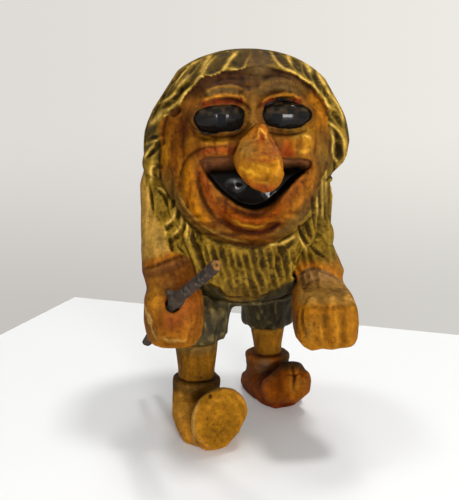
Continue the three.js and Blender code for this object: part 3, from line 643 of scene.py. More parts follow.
# Lines of the face with their widths in points of the picture and their heights in millimetres
FACE_FORMS = [
    (RIGHT_BROW, 7, 3.4),
    (LEFT_BROW, 7.5, 3.6),
    (BRIDGE, 9, 2.2),
    (RIGHT_ROLL, 7.5, 2.4),
    (LEFT_ROLL, 7.5, 2.2),
    (RIGHT_SIDEBURN, 6, -0.9),
    (LEFT_SIDEBURN, 6, -0.7),
]
FACE_CREASES = [
    (RIGHT_CREASE, 2.4, -1.2),
    (LEFT_CREASE, 2.2, -1.0),
    (RIGHT_INNER_FOLD, 2.4, -0.8),
    (LOWER_LIP, 6.2, 3.2),
    (UNDER_LIP, 3.2, -1.7),
    (JAW, 2.0, 1.0),
    (RIGHT_BROW_TOP, 1.7, 0.9),
    (LEFT_BROW_TOP, 2.0, 0.8),
]
# Soft ovals of the face with their heights
FACE_LUMPS = [
    ((214, 141, 21, 9), 3.2),
    ((299, 141, 16, 11), 3.0),
    ((247, 238, 34, 8), 2.4),
    ((184, 126, 9, 22), -1.6),
    ((319, 128, 9, 24), -1.4),
]
SMALL_WARTS = [((290, 131, 5, 3), 0.6), ((314, 138, 5, 5), 0.7), ((309, 129, 3, 4), 0.6)]


def shape_eyes(face, height):
    """Lets the eye sockets into the relief, with their lids and lashes."""
    for side, outline, lid in ((-1, RIGHT_EYE, RIGHT_LID), (1, LEFT_EYE, LEFT_LID)):
        away = face.edge(outline)
        reach = ((face.x - side * EYE_X) / EYE_RADII[0]) ** 2 + ((face.z - EYE_Z) / EYE_RADII[2]) ** 2
        ball = -EYE_Y + EYE_RADII[1] * np.sqrt(np.maximum(1 - reach / 1.3, 0))
        rim = np.exp(-((np.maximum(away, 0) / 7) ** 2))
        socket = smooth(0.6, -1.2, away)
        height = height * (1 - rim) + (ball + 0.7) * rim
        height = height * (1 - socket) + (ball - 1.0) * socket
        height += 1.3 * face.line(lid, 2.6) * (away > 0)
        height -= 0.6 * np.exp(-(((away - 5) / 1.6) ** 2)) * smooth(120, 126, face.v)
    for u, v in LASHES:
        height += 0.8 * np.minimum(1, 1.6 * face.spot(u, v, *LASH_SIZE))
    return height


def shape_mouth(face, height, lips):
    """Hollows the mouth out, with small ramps in its floor that catch the light."""
    in_mouth = smooth(0.9, -2.4, lips)
    from_top = face.gap(curve(MOUTH_TOP, 30))[0]
    height -= (2.6 + 6.0 * smooth(3, 18, from_top)) * in_mouth
    for u, v, wide in MOUTH_GLEAMS:
        rise = smooth(v - 6, v + 6, face.v) * smooth(v + 22, v + 12, face.v)
        height += 0.8 * rise * np.exp(-(((face.u - u) / wide) ** 2)) * in_mouth
    return height


def shape_face(face):
    """Carves brows, lids, cheeks, folds, mouth, lips and chin into the relief."""
    height = face.dome.copy()
    for points, wide, lift in FACE_FORMS:
        height += lift * face.line(points, wide)
    for spot, lift in FACE_LUMPS:
        height += lift * face.spot(*spot)
    for points, wide, lift in FACE_CREASES:
        height += lift * face.line(points, wide)
    height -= 0.45 * face.line(LEFT_BROW_TOP, 4.5) * hatching(face)
    height -= 0.35 * face.line(RIGHT_BROW_HATCH, 4) * hatching(face)
    height = shape_eyes(face, height)
    lips = face.edge(MOUTH)
    height = shape_mouth(face, height, lips)
    for points in WRINKLES:
        height -= 0.55 * face.line(points, 1.6)
    height += 1.5 * np.minimum(1, 1.6 * face.spot(*CHEEK_WART, 10, 8.5))
    for spot, lift in SMALL_WARTS:
        height += lift * face.spot(*spot)
    grain = np.stack([face.x, np.zeros(face.x.shape), face.z], axis=-1)
    bumps = 0.5 * (mottle(grain, 3.0, 3) - 0.5) + 0.3 * (mottle(grain, 1.2, 4) - 0.5)
    bumps += 0.7 * (mottle(grain, 1.5, 5) - 0.5) * smooth(92, 84, face.v)
    return height + bumps * smooth(-2.5, 0.5, lips)


# Head and torso, carved as one block

trunk = Block(["head", "torso"], WOOD_STEP)
x_axis, y_axis, z_axis = trunk.axes()


def cells(axis, values):
    """Indices of the places along an axis of the trunk's grid that are nearest to values."""
    return np.clip(np.round((values - axis[0]) / trunk.voxel).astype(int), 0, len(axis) - 1)


def hair_plane(z):
    """How far the hair reaches in front of the plane y = 0 at heights."""
    return HAIR_FRONT + HAIR_LEAN * (z - HAIR_CENTRE[2])


# The neck seam is glued shut, so that hair and beard run over it
trunk.join(NECK_SEAM, reach=3.2)
trunk.soften(14)

# The hair is filled up to its full outline before its flutes are cut
hair_heights = np.where(z_axis > HAIR_CENTRE[2], HAIR_RADII[2], HAIR_LOWER_HEIGHT)
hair_x = (x_axis - HAIR_CENTRE[0]) / HAIR_RADII[0]
hair_y = (y_axis - HAIR_CENTRE[1]) / HAIR_RADII[1]
hair_z = (z_axis - HAIR_CENTRE[2]) / hair_heights
hair_reach = rounded(HAIR_SQUARENESS, hair_x[:, None, None], hair_y[:, None], hair_z)
hair_gap = (hair_reach ** (1 / HAIR_SQUARENESS) - 1) * HAIR_RADII[1] + HAIR_INSET
front_gap = (-y_axis[None, :, None] - hair_plane(z_axis)[None, None, :]) / math.hypot(1, HAIR_LEAN)
trunk.field = np.minimum(trunk.field, np.maximum(hair_gap, front_gap)).astype(np.float32)
CROWN_RIGHT = [
    (258, 47.5), (229, 48), (204.5, 55.5), (187.5, 62), (178, 69.5), (153, 109), (147.5, 121.5),
    (142.5, 138),
]
CROWN_LEFT = [
    (348.5, 131), (347, 118), (342, 109), (335, 93), (328.5, 82), (318, 70), (310, 62), (293.5, 54.5),
    (271, 49.5),
]
HAIR_END = [(333, 172.5), (336, 169.5), (343, 163), (347, 154.5), (348.5, 146)]
trunk.trim(CROWN_RIGHT)
trunk.trim(CROWN_LEFT)
trunk.trim(HAIR_END, low=98.8)
trunk.trim([(331.5, 190), (333, 172.5)], low=92, high=100)
trunk.swell_at([(150, 158)], shift=(1.5, 3.0, -2.5), radii=(4.5, 5.0, 5.0), blend=3.0)
trunk.swell_at([(322, 225)], shift=(1.0, 3.0, -5.0), radii=(4.5, 4.5, 7.0), blend=3.0)

# The face is let into the hair
face = Relief(x_axis, z_axis)
for _ in range(2):
    face.height = shape_face(face)
    face.look(face.height)
rim_height = np.maximum(face.dome, hair_plane(face.z))
opening = Canvas(seen(np.stack([face.x, -rim_height, face.z], axis=-1)))
inside = -opening.edge(HAIRLINE)
blur = 0.8 + 2.2 * smooth(212, 232, opening.v)
in_face = smooth(-blur, blur, inside)
overhang = 2.8 - 2.4 * opening.spot(260, 66, 18, 14) - 2.2 * opening.spot(158, 140, 14, 26)
near_rim = np.exp(-((np.maximum(inside, 0) / 12) ** 2)) * smooth(98, 110, face.z)
hair_dome = cushion(HAIR_RADII[1], HAIR_SQUARENESS, hair_x[:, None], hair_z) - HAIR_CENTRE[1]
rim_floor = np.minimum(hair_plane(face.z), hair_dome) - overhang
face.height = face.height + np.maximum(rim_floor - face.height, 0) * near_rim
dx, dz = np.gradient(face.height, trunk.voxel)
tilt = np.sqrt(1 + np.minimum(dx**2 + dz**2, 9))
front = np.searchsorted(y_axis, FACE_BACK_Y)
relief_field = (-face.height[:, None, :] - y_axis[None, :front, None]) / tilt[:, None, :]
relief_field = np.clip(relief_field, -BAND * trunk.voxel, BAND * trunk.voxel)
share = in_face[:, None, :]
trunk.field[:, :front, :] = trunk.field[:, :front, :] * (1 - share) + relief_field * share
trunk.soften(1)


# Hair: flutes that run down from the crown, and the petals they end in over the face

FLUTES = 26
FLUTE_SWAY = 0.05
FLUTE_START = 7
FLUTE_SLACK = 4.5
FLUTE_FRONT_Y = -9
HAIR_GIRTH = 2 * math.pi * 40
FULL_WIDTH_PITCH = 9.6
FULL_DEPTH_PITCH = 8


def flute(turn, wide, deep, first, last, steps=30, fade=0.25):
    """One gouged flute of the hair, from near the crown down towards its edge."""
    polars = np.linspace(first, last, steps)
    turns = turn + FLUTE_SWAY * np.sin(polars * 3.1 + turn * 5)
    unit = np.stack([np.sin(polars) * np.cos(turns), np.sin(polars) * np.sin(turns), np.cos(polars)], axis=1)
    radii = np.tile(HAIR_RADII, (steps, 1))
    radii[polars > math.pi / 2, 2] = HAIR_LOWER_HEIGHT
    out = unit / radii
    out /= np.linalg.norm(out, axis=1, keepdims=True)
    points = HAIR_CENTRE + radii * unit
    path, met = trunk.hit(points + out * FLUTE_START, -out, reach=2 * FLUTE_START)
    met &= (np.linalg.norm(path - points, axis=1) < FLUTE_SLACK) & (path[:, 1] > FLUTE_FRONT_Y)
    stop = len(met) if met.all() else int(np.argmin(met))
    if stop < 4:
        return
    spacing = HAIR_GIRTH * np.sin(polars[:stop]) / FLUTES
    widths = np.minimum(wide, spacing * wide / FULL_WIDTH_PITCH)
    depths = np.minimum(deep, deep * spacing / FULL_DEPTH_PITCH)
    trunk.scoop(path[:stop], widths, depths, fade)


flute_turns = math.pi / FLUTES * (2 * np.arange(FLUTES) + 1)
for turn in flute_turns:
    flute(turn, wide=9.0, deep=1.7, first=0.16, last=2.15)
for turn in np.repeat(flute_turns, 3):
    start = rng.uniform(0.25, 0.9)
    turn = turn + rng.uniform(-0.07, 0.07)
    flute(turn, wide=1.5, deep=0.35, first=start, last=start + rng.uniform(0.6, 1.2), steps=18, fade=0.6)

PETALS = [
    ([(245, 51), (241, 57), (238, 63), (236, 67)], 8.0, 1.5),
    ([(226, 52.5), (220, 59), (215, 66), (212, 71.5)], 8.5, 1.4),
    ([(208, 58), (201, 65), (196, 73), (194, 79)], 5.5, 1.2),
    ([(199, 61), (191, 69), (184, 78)], 4.2, 0.9),
    ([(192, 81), (186, 85.5), (180, 90)], 4.0, 1.3),
    ([(189, 66), (180, 76), (172, 87)], 4.6, 0.9),
    ([(181, 90), (176, 95), (171, 99)], 4.0, 1.3),
    ([(179, 100), (171, 103.5), (163, 106.5)], 3.8, 1.3),
    ([(179, 109), (172, 112), (166, 113)], 3.4, 1.3),
    ([(178, 72), (166, 90), (159, 104)], 4.0, 0.8),
    ([(165, 93), (156, 109), (151, 121)], 4.0, 0.8),
    ([(256, 50), (257, 56), (258, 62)], 6.0, 1.0),
    ([(266, 50), (267, 56), (268, 62)], 6.0, 1.0),
    ([(277, 52), (281, 58), (286, 65)], 6.5, 1.4),
    ([(292, 57), (297, 63), (301, 71)], 5.5, 1.3),
    ([(305, 65), (308, 72), (311, 79)], 4.5, 1.1),
    ([(313, 72), (318, 81), (321, 90)], 5.0, 1.2),
    ([(324, 88), (328, 97), (331, 105)], 4.2, 1.1),
    ([(330, 90), (336, 101), (341, 111)], 3.5, 0.9),
    ([(334, 112), (339, 118), (343, 127)], 4.0, 1.2),
    ([(332, 128), (337, 134), (341, 140)], 3.0, 0.9),
    ([(338, 144), (340, 151), (340.5, 158)], 4.4, 1.1),
]
RIDGES = [
    ([(222, 71), (227, 64), (231, 58), (237, 52)], 1.7),
    ([(231, 68.5), (238, 70), (244, 67.5), (247, 61), (250, 56)], 1.2),
    ([(200, 75.5), (204, 67), (208, 60), (211, 56)], 2.2),
    ([(193, 84), (197, 79.5), (200, 76), (206, 77), (214, 75), (222, 71.5)], 1.2),
    ([(178, 87), (184, 80.5), (189, 75)], 1.5),
    ([(200, 60), (191, 65), (182, 75), (175, 86)], 1.0),
    ([(165, 110), (174, 105), (181, 100), (185, 94), (193, 84)], 1.6),
    ([(161, 103), (169, 98.5), (176, 92.5)], 1.2),
    ([(150, 125), (157, 118), (163, 111)], 2.3),
    ([(164, 116), (172, 115.5), (180, 111.5)], 1.2),
    ([(270, 51), (274, 57), (278, 63), (285, 69)], 1.3),
    ([(287, 55), (290, 60), (292, 63)], 1.5),
    ([(285, 69), (292, 71.5), (299, 75.5), (306, 81), (313, 83)], 1.3),
    ([(304, 60), (308, 66), (311, 72)], 2.5),
    ([(317, 71), (321, 78), (326, 86)], 1.6),
    ([(313, 83), (317, 90), (320, 95.5), (325, 99), (327, 104), (332, 108.5)], 1.5),
    ([(326, 87), (333, 98), (340, 109), (344, 122)], 1.3),
    ([(328, 122), (334, 126.5), (340, 133), (344, 142), (344, 157)], 1.4),
    ([(331, 127), (333.5, 140), (333, 154), (338, 164)], 1.5),
    ([(146, 144.5), (151, 141.5), (157, 140)], 1.4),
    ([(144, 158), (148, 151), (153, 146)], 1.4),
    ([(156, 165), (152, 167.5), (150.5, 172.5), (152, 178), (150, 181)], 1.3),
    ([(157, 187), (162, 190), (166, 193)], 1.0),
    ([(175.5, 208), (174.5, 215), (171, 221), (166, 225)], 1.3),
    ([(181, 213), (181.5, 222), (179, 229), (173, 235)], 1.2),
    ([(163.5, 226), (165, 231), (165.5, 236)], 1.2),
    ([(186, 222), (188, 231), (186, 241)], 1.2),
    ([(322, 178), (322.5, 195), (322.5, 217)], 1.2),
    ([(325.5, 168), (326, 185), (325.5, 203)], 1.2),
    ([(332, 183), (333, 198), (332, 214)], 1.3),
    ([(316, 190), (317, 204), (318, 216)], 1.1),
    ([(265, 243.5), (277, 244.5), (285, 241.5), (297, 236)], 1.4),
    ([(299, 236), (303, 244), (307, 251)], 1.2),
]

# Mane and beard: curls at the figure's right, long locks at its left and gouges that lean below the chin

BEARD_HEM = [
    (198, 282), (208, 285), (219, 290), (227, 299), (240, 303.5), (252, 300.5), (264, 296), (276, 289),
    (290, 281.5), (302, 276),
]
CHIN = (250, 252)
BEARD_GOUGES = range(196, 312, 8)
LOCKS = [
    ([(147, 143), (151, 138.5), (156, 137), (161, 134.5)], 2.2, 0.9),
    ([(147, 156), (151, 152), (156, 147), (160, 141)], 3.2, 1.2),
    ([(159, 166), (155, 168), (153.5, 173), (155, 178), (157, 183)], 3.2, 1.1),
    ([(149, 183), (151, 196), (153, 211)], 1.6, 0.7),
    ([(158, 190), (163, 194), (166, 199), (167, 205)], 2.4, 0.6),
    ([(169.5, 209), (172.5, 205), (174, 200)], 2.4, 0.9),
    ([(165, 228), (170, 225), (175, 219), (177, 211)], 3.2, 1.1),
    ([(170, 240), (177, 236), (182, 230.5), (184, 222)], 3.2, 1.0),
    ([(184, 242), (187, 235), (187.5, 228)], 1.8, 0.9),
    ([(170, 239), (172, 246), (172, 251)], 2.0, 0.9),
    ([(178, 241), (180, 247), (184, 252)], 2.0, 0.9),
    ([(192, 232), (193, 241), (197, 250)], 2.2, 1.0),
    ([(313, 198), (314.5, 212), (316, 230)], 2.6, 1.1),
    ([(319.5, 190), (320, 200), (321, 208)], 1.6, 0.8),
    ([(326, 203), (326.5, 211), (326, 218)], 2.2, 1.1),
    ([(329.5, 178), (330.5, 190), (330, 203)], 1.6, 0.7),
    ([(306, 222), (309, 231), (312, 240)], 2.2, 1.0),
    ([(299, 226), (302, 235), (308, 246)], 2.2, 1.0),
    ([(318, 234), (323, 242), (330, 250)], 2.4, 0.9),
    ([(309, 244), (316, 251), (325, 257)], 2.2, 0.9),
    ([(279, 244), (281, 252), (280, 262)], 3.0, 0.9),
    ([(284, 249), (290, 245), (296, 238)], 2.8, 0.8),
    (BEARD_HEM[1:-1], 2.4, 0.8),
]
for start in BEARD_GOUGES:
    lean = rng.uniform(7, 13)
    top = CHIN[1] + rng.uniform(-3, 3) - 4 * abs(start - CHIN[0]) / 60
    points = [(start, top), (start + lean * 0.4, top + 16), (start + lean, top + rng.uniform(30, 46))]
    LOCKS.append((points, rng.uniform(2.8, 3.8), rng.uniform(0.8, 1.2)))


MANE_TOP_Z = 106
MANE_REACH = 62
MANE_LIMIT_Z = 112
LOCKS_FROM_V = 110
LOCKS_TO_V = 256
LOCKS_BACK_Y = -2


def mane_lines(rows, row_height, count, steps=8):
    """Wavy lines down the mane and the beard, in staggered rows, as rays towards the body's axis."""
    angles = []
    heights = []
    for tier in range(rows):
        for index in range(count):
            drop = np.linspace(0, rng.uniform(9, 14), steps)
            turn = 2 * math.pi * (index + 0.5 * (tier % 2) + rng.uniform(-0.25, 0.25)) / count
            angles.append(turn + rng.uniform(0.02, 0.07) * np.sin(drop * 0.42 + rng.uniform(0, 6)))
            heights.append(MANE_TOP_Z - tier * row_height + rng.uniform(-2, 2) - drop)
    angles = np.array(angles)
    out = np.stack([np.cos(angles), np.sin(angles), np.zeros(angles.shape)], axis=-1)
    starts = np.array([0.0, NECK_Y, 0.0]) + out * MANE_REACH
    starts[..., 2] = np.array(heights)
    return starts, -out


starts, towards = mane_lines(rows=8, row_height=6.5, count=58)
paths, met = trunk.hit(starts.reshape(-1, 3), towards.reshape(-1, 3), reach=60)
shown = seen(paths)
carved_there = (paths[:, 1] < LOCKS_BACK_Y) & (shown[:, 1] > LOCKS_FROM_V) & (shown[:, 1] < LOCKS_TO_V)
met &= ~carved_there & (paths[:, 2] < MANE_LIMIT_Z)
paths = paths.reshape(starts.shape)
met = met.reshape(starts.shape[:2])
for path in paths[met.all(axis=1)]:
    trunk.scoop(path, rng.uniform(2.6, 3.9), rng.uniform(0.6, 1.0))

# Limbs, hands, boots and staff

staff = Block(["staff"], FINE_STEP)
staff.soften(3)
roughen(staff, size=1.6, height=0.5, seed=13)

right_arm = Block(["right_arm", "right_hand", "right_wrist_dowel"], WOOD_STEP, DEEP_BAND)
right_arm.join(CUFF_SEAM, reach=2.4)
right_arm.soften(7)
right_arm.flat((148, 320), depth=0.9, lean=(-0.2, -0.2, -0.2))
right_arm.flat((168, 341), depth=0.7, lean=(0.0, -0.2, -0.5))
right_arm.flat((197, 325), depth=0.8, lean=(0.4, -0.2, -0.4))

LEFT_FINGERS = [(314, 326), (333, 325), (349, 322)]
LEFT_HAND = [
    (291, 285), (289.5, 300), (290, 316), (295.5, 337), (303, 346), (312, 351), (330, 350.5),
    (347, 348.5), (359.5, 342), (361.5, 326), (360, 309), (352, 294), (347, 281),
]
left_arm = Block(["left_arm", "left_hand", "left_wrist_dowel"], WOOD_STEP, DEEP_BAND)
left_arm.join(CUFF_SEAM, reach=2.4)
left_arm.soften(8)
for spot in LEFT_FINGERS:
    left_arm.swell_at([spot], shift=(0, 3.3, 0), radii=(3.6, 3.6, 9.6), blend=2.4)
left_arm.trim(LEFT_HAND, low=36, high=62)
left_arm.soften(2)
for block in (right_arm, left_arm):
    whittle(block, 90, UP, length=14, width=6, depth=0.4, where=lambda points: staff.sample(points) > 1.5)
    roughen(block, size=2.6, height=0.35, seed=5, stretch=(1, 1, 2))
draw([trunk, right_arm, left_arm], PETALS + LOCKS)
draw([right_arm], [
    ([(141, 268), (150, 266.5), (160, 263), (172, 258), (186, 254)], 2.2, 0.55),
    ([(146, 276), (158, 273), (172, 268), (186, 262)], 3.4, 0.4),
])
draw([left_arm], [
    ([(300, 274), (308, 268), (320, 270), (334, 276), (342, 282)], 2.2, 0.55),
    ([(304, 293), (306, 286), (311, 281), (318, 280)], 2.4, 0.45),
    ([(338, 288), (345, 289), (351, 292)], 1.6, 0.35),
    ([(340, 294), (347, 295), (353, 298)], 1.6, 0.35),
    ([(342, 300), (348, 301), (355, 304)], 1.6, 0.35),
    ([(312, 307), (328, 309), (345, 306), (354, 303)], 2.4, 0.35),
    ([(323.5, 309), (325.5, 325), (327, 347)], 3.6, 0.55),
    ([(341, 307), (342, 324), (343, 346)], 3.6, 0.55),
    ([(302, 309), (301, 319), (304, 332)], 3.0, 0.6),
])

pegs = ["right_waist_dowel", "left_waist_dowel", "right_leg_dowel", "left_leg_dowel"]
breeches = Block(["breeches", *pegs], BREECHES_STEP, DEEP_BAND)
breeches.soften(5)
whittle(breeches, 220, UP, length=9, width=3.6, depth=0.6)
roughen(breeches, size=2.2, height=0.6, seed=8, stretch=(1, 1, 2))

right_leg = Block(["right_leg", "right_leg_dowel"], WOOD_STEP, DEEP_BAND)
left_leg = Block(["left_leg", "left_leg_dowel"], WOOD_STEP, DEEP_BAND)
for block in (right_leg, left_leg):
    block.soften(4)
    whittle(block, 26, UP, length=10, width=4.5, depth=0.35)
    roughen(block, size=2.5, height=0.3, seed=9, stretch=(1, 1, 3))

# Boots are whittled above the sole and behind the sliced toe, and have a ring round the shaft
SOLE_Z = 1.5
TOE_FACET_Y = -36
GROOVE_POINTS = 40
GROOVE_START = 26
GROOVE_REACH = 40
SHAFT_RADIUS = 13


def boot_upper(points):
    """Which points of a boot are neither at its sole nor on the sliced toe."""
    return (points[:, 2] > SOLE_Z) & (points[:, 1] > TOE_FACET_Y)


def groove(block, x, y, height):
    """Cuts a shallow ring round a boot's shaft."""
    angles = np.linspace(0, 2 * math.pi, GROOVE_POINTS)
    out = np.stack([np.cos(angles), np.sin(angles), np.zeros(GROOVE_POINTS)], axis=1)
    path, met = block.hit(np.array([x, y, height]) + out * GROOVE_START, -out, reach=GROOVE_REACH)
    near = np.linalg.norm(path[:, :2] - np.array([x, y]), axis=1) < SHAFT_RADIUS
    block.scoop(path[met & near], width=2.0, depth=0.15, fade=0.05)


RIGHT_BOOT_SIDE = [(179, 404), (181, 414), (184, 424), (190, 435)]
RIGHT_BOOT = [
    (173, 372), (172.5, 415), (177, 429), (186, 445), (195, 451), (213, 451.5), (226, 446.5), (238, 433),
    (246, 417),
]
LEFT_TOE = [(299, 401), (309.5, 392), (311.5, 380), (309, 368)]
right_boot = Block(["right_boot", "right_leg_dowel"], WOOD_STEP, DEEP_BAND)
left_boot = Block(["left_boot", "left_leg_dowel"], WOOD_STEP, DEEP_BAND)
for block, (x, y) in ((right_boot, RIGHT_SHIN), (left_boot, LEFT_SHIN)):
    block.soften(5)
    places = block.places()
    from_shin = np.hypot(places[..., 0] - x, places[..., 1] - y)
    block.keep(np.minimum(places[..., 2] - BOOT_TOP_Z, SHIN_RADIUS - from_shin))
    whittle(block, 46, (0.3, -1, 0.4), length=12, width=6, depth=0.4, where=boot_upper)
    groove(block, x, y, BOOT_GROOVE_Z)
right_boot.flat((245, 412), depth=0.8, lean=(0.2, 0.0, 0.1))
left_boot.swell_at([(277, 393)], shift=(0.5, 4.4, 0.5), radii=(6.5, 5.2, 6.0), blend=4.0)
left_boot.trim(LEFT_TOE)
right_boot.swell_at(RIGHT_BOOT_SIDE, shift=(1.2, 5.6, 0), radii=(5.6, 7.0, 6.0), blend=4.0)
right_boot.trim(RIGHT_BOOT)
for block in (right_boot, left_boot):
    block.soften(2)
    block.keep(-block.places()[..., 2])
draw([right_boot], [
    ([(201, 384), (196, 394), (192, 404)], 7.0, 0.7),
    ([(199, 401), (192, 410), (188, 419), (189, 432)], 5.0, 0.5),
    ([(209.5, 395), (210, 396), (210.5, 397)], 1.2, 0.9),
])
draw([left_boot], [
    ([(292, 366), (294, 376), (293, 389)], 1.3, 0.7),
    ([(287, 374), (294, 375.5), (299, 373)], 1.3, 0.6),
    ([(270, 368), (270, 376), (273, 384)], 4.0, 0.6),
])
for block in (right_boot, left_boot):
    roughen(block, size=2.6, height=0.35, seed=10)

NOSE = [
    (252, 128), (240, 140), (233, 150), (233, 160), (236, 169), (244, 181.5), (254, 189), (265, 193),
    (274, 190.5), (281.5, 183), (286, 171), (286, 158), (281.5, 145), (272, 132),
]
NOSE_ROOT_Z = 120.5
nose = Block(["nose"], NOSE_STEP, DEEP_BAND)
nose.soften(7)
nose.swell((0.6, -35.0, 112.0), radii=(6.4, 6.0, 6.6), blend=3.0)
nose.swell((2.4, -44.5, 100.5), radii=(6.0, 4.6, 4.4), blend=3.0)
nose.swell_at([(270, 180)], shift=(1.4, 4.2, -2.2), radii=(5.2, 5.0, 6.2), blend=3.0)

# The nose keeps in front of the face, and more so below its root
nose_x, nose_y, nose_z = nose.axes()
behind = face.height[np.ix_(cells(x_axis, nose_x), cells(z_axis, nose_z))]
profile = behind + 0.6 + 1.3 * np.maximum(NOSE_ROOT_Z - nose_z, 0)[None, :]
nose.keep((-nose_y[None, :, None] - profile[:, None, :]) * 0.6)
nose.trim(NOSE)
nose.soften(9)
whittle(nose, 60, (0, -0.4, -1), length=7, width=4, depth=0.4, where=lambda points: points[:, 1] < -32)
nose.swell_at([(262, 134.5)], shift=(0, 0.7, 0), radii=(2.3, 2.6, 3.6), blend=0.9)
draw([nose], [
    ([(270, 135), (275, 146), (276, 158)], 4.0, 0.5),
    ([(252, 138), (245, 148), (241, 160)], 4.0, 0.4),
    ([(240, 166), (252, 175), (266, 178), (278, 172)], 3.0, 0.3),
])
roughen(nose, size=1.8, height=0.5, seed=12)

eyes = {}
for side, name in ((-1, "right_eye"), (1, "left_eye")):
    block = Block([name], FINE_STEP)
    shares = (block.places() - np.array([side * EYE_X, EYE_Y, EYE_Z])) / EYE_RADII
    across = rounded(EYE_SQUARENESS, *np.moveaxis(shares, -1, 0))
    near = np.maximum(across, 1e-4) ** (1 / EYE_SQUARENESS)
    block.field = ((near - 1) * EYE_RADII[2]).astype(np.float32)
    eyes[name] = block

# Blocks keep clear of what stands against them or in them
dowels = {name: Block([name], DOWEL_STEP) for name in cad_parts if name.endswith("_dowel")}
for block in (right_arm, left_arm, right_leg, left_leg, right_boot, left_boot):
    for dowel in dowels.values():
        block.clear(dowel, DOWEL_GAP)
right_arm.clear(staff, STAFF_GAP)
for block in (right_arm, left_arm, *eyes.values(), nose, *dowels.values()):
    trunk.clear(block, GLUE_GAP)
for block in (right_arm, left_arm, trunk, right_leg, left_leg, *dowels.values()):
    breeches.clear(block, GLUE_GAP)
for leg, boot in ((right_leg, right_boot), (left_leg, left_boot)):
    leg.clear(boot, BOOT_GAP)


# Stains, brushed on where the camera sees them, by hollows and ridges, and by chance, with painted shade in
# the hollows

VARNISH = 0.74
DEEPENING = 1.22


def mix(first, second, share):
    """A blend of two colours, all of the second where the share is 1."""
    share = np.clip(share, 0, 1)[..., None]
    return np.asarray(first) * (1 - share) + np.asarray(second) * share


class Paint(Canvas):
    """Stain colours of points, with an unsteady hand, on what faces the camera."""

    def __init__(self, points, normals, colour, waver=1.0):
        sway = np.stack([mottle(points, 1.7, 71), mottle(points, 1.7, 72)], axis=-1) - 0.5
        super().__init__(seen(points) + 2 * waver * sway)
        towards = CAMERA - points
        towards /= np.linalg.norm(towards, axis=1, keepdims=True)
        self.facing = smooth(-0.1, 0.2, (normals * towards).sum(axis=1))
        self.colour = np.broadcast_to(np.asarray(colour, dtype=float), points.shape).copy()
        self.gloss = np.zeros(len(points))

    def tint(self, mask, colour, strength=1.0):
        """Lays a stain on where the mask is over 0."""
        self.colour = mix(self.colour, colour, np.clip(mask * strength, 0, 1) * self.facing)

    def dab(self, spot, colour, strength, load=1.0):
        """A soft oval of stain, with a fuller middle where the brush has a load over 1."""
        self.tint(np.minimum(1, load * self.spot(*spot)), colour, strength)

    def stroke(self, points, wide, colour, strength):
        """A soft line of stain."""
        self.tint(self.line(points, wide), colour, strength)

    def shine(self, mask):
        """Makes the surface glossy where the mask is over 0."""
        self.gloss = np.maximum(self.gloss, np.clip(mask, 0, 1) * self.facing)


def wear_and_shade(colour, points, ridge, hollow, glaze_and_shade=0.75, pale=0.5):
    """Thins the stain on ridges, darkens hollows with dark glaze and painted shade, and adds the brush's
    clouds and specks.
    """
    cloud = mottle(points, 7, 21) * 0.3 + mottle(points, 2.6, 22) * 0.3 + mottle(points, 1.0, 23) * 0.4
    colour = colour * (0.50 + 1.0 * cloud)[:, None]
    specks = smooth(0.72, 0.86, mottle(points, 0.75, 24)) * smooth(0.35, 0.7, mottle(points, 5, 25))
    colour = mix(colour, colour * np.array([0.35, 0.30, 0.25]), specks * 0.7)
    # Painted shade in the hollows, laid with the dark glaze that lies there
    colour = mix(colour, colour * np.array([0.22, 0.16, 0.12]), hollow * glaze_and_shade)
    colour = mix(colour, colour * 1.45 + np.array([0.09, 0.05, 0.008]), ridge * pale)
    return VARNISH * colour**DEEPENING


def paint_hair(points, normals, ridge, hollow):
    """Olive hair, mane and beard with gold ridges, and the dark rim below the beard's hem."""
    crown = smooth(98, 112, points[:, 2])
    olive = mix((0.235, 0.146, 0.020), (0.33, 0.204, 0.026), mottle(points, 8, 31))
    olive = mix(olive, olive * (0.43, 0.435, 0.43), crown)
    # Painted shade: the hair's hollows are made darker still
    olive = mix(olive, olive * (0.40, 0.38, 0.30), hollow)
    paint = Paint(points, normals, olive, 0.5)
    specks = smooth(0.5, 0.75, mottle(points, 0.9, 32)) * smooth(0.3, 0.6, mottle(points, 4, 33))
    paint.colour = mix(paint.colour, (0.055, 0.038, 0.010), specks * 0.75)
    gold = smooth(0.62, 0.8, mottle(points, 1.0, 34)) * smooth(0.4, 0.7, mottle(points, 6, 35))
    paint.colour = mix(paint.colour, (0.33, 0.22, 0.035), gold * 0.6)
    paint.colour = mix(paint.colour, (0.50, 0.33, 0.055), ridge * 0.45)
    ahead = np.flatnonzero((points[:, 1] < 10) & (paint.facing > 0.01))
    near = Canvas(np.stack([paint.u[ahead], paint.v[ahead]], axis=-1))
    lines = np.zeros(len(ahead))
    for path, wide in RIDGES:
        lines = np.maximum(lines, near.line(path, wide))
    every = np.zeros(len(points))
    every[ahead] = lines
    paint.tint(every, (0.82, 0.55, 0.14), 0.95)
    paint.dab((258, 60, 13, 10), (0.17, 0.095, 0.030), 0.85, load=1.5)
    paint.dab((325, 200, 8, 30), (0.15, 0.096, 0.020), 0.7)
    waist = smooth(68, 64, points[:, 2])
    paint.tint(smooth(276, 298, paint.v) * waist, (0.125, 0.070, 0.016), 0.75)
    paint.tint(smooth(-0.8, 1.2, below_line(paint, BEARD_HEM)) * waist, (0.056, 0.045, 0.020), 0.95)
    return wear_and_shade(paint.colour, points, ridge * 0.2, hollow * 0.7)


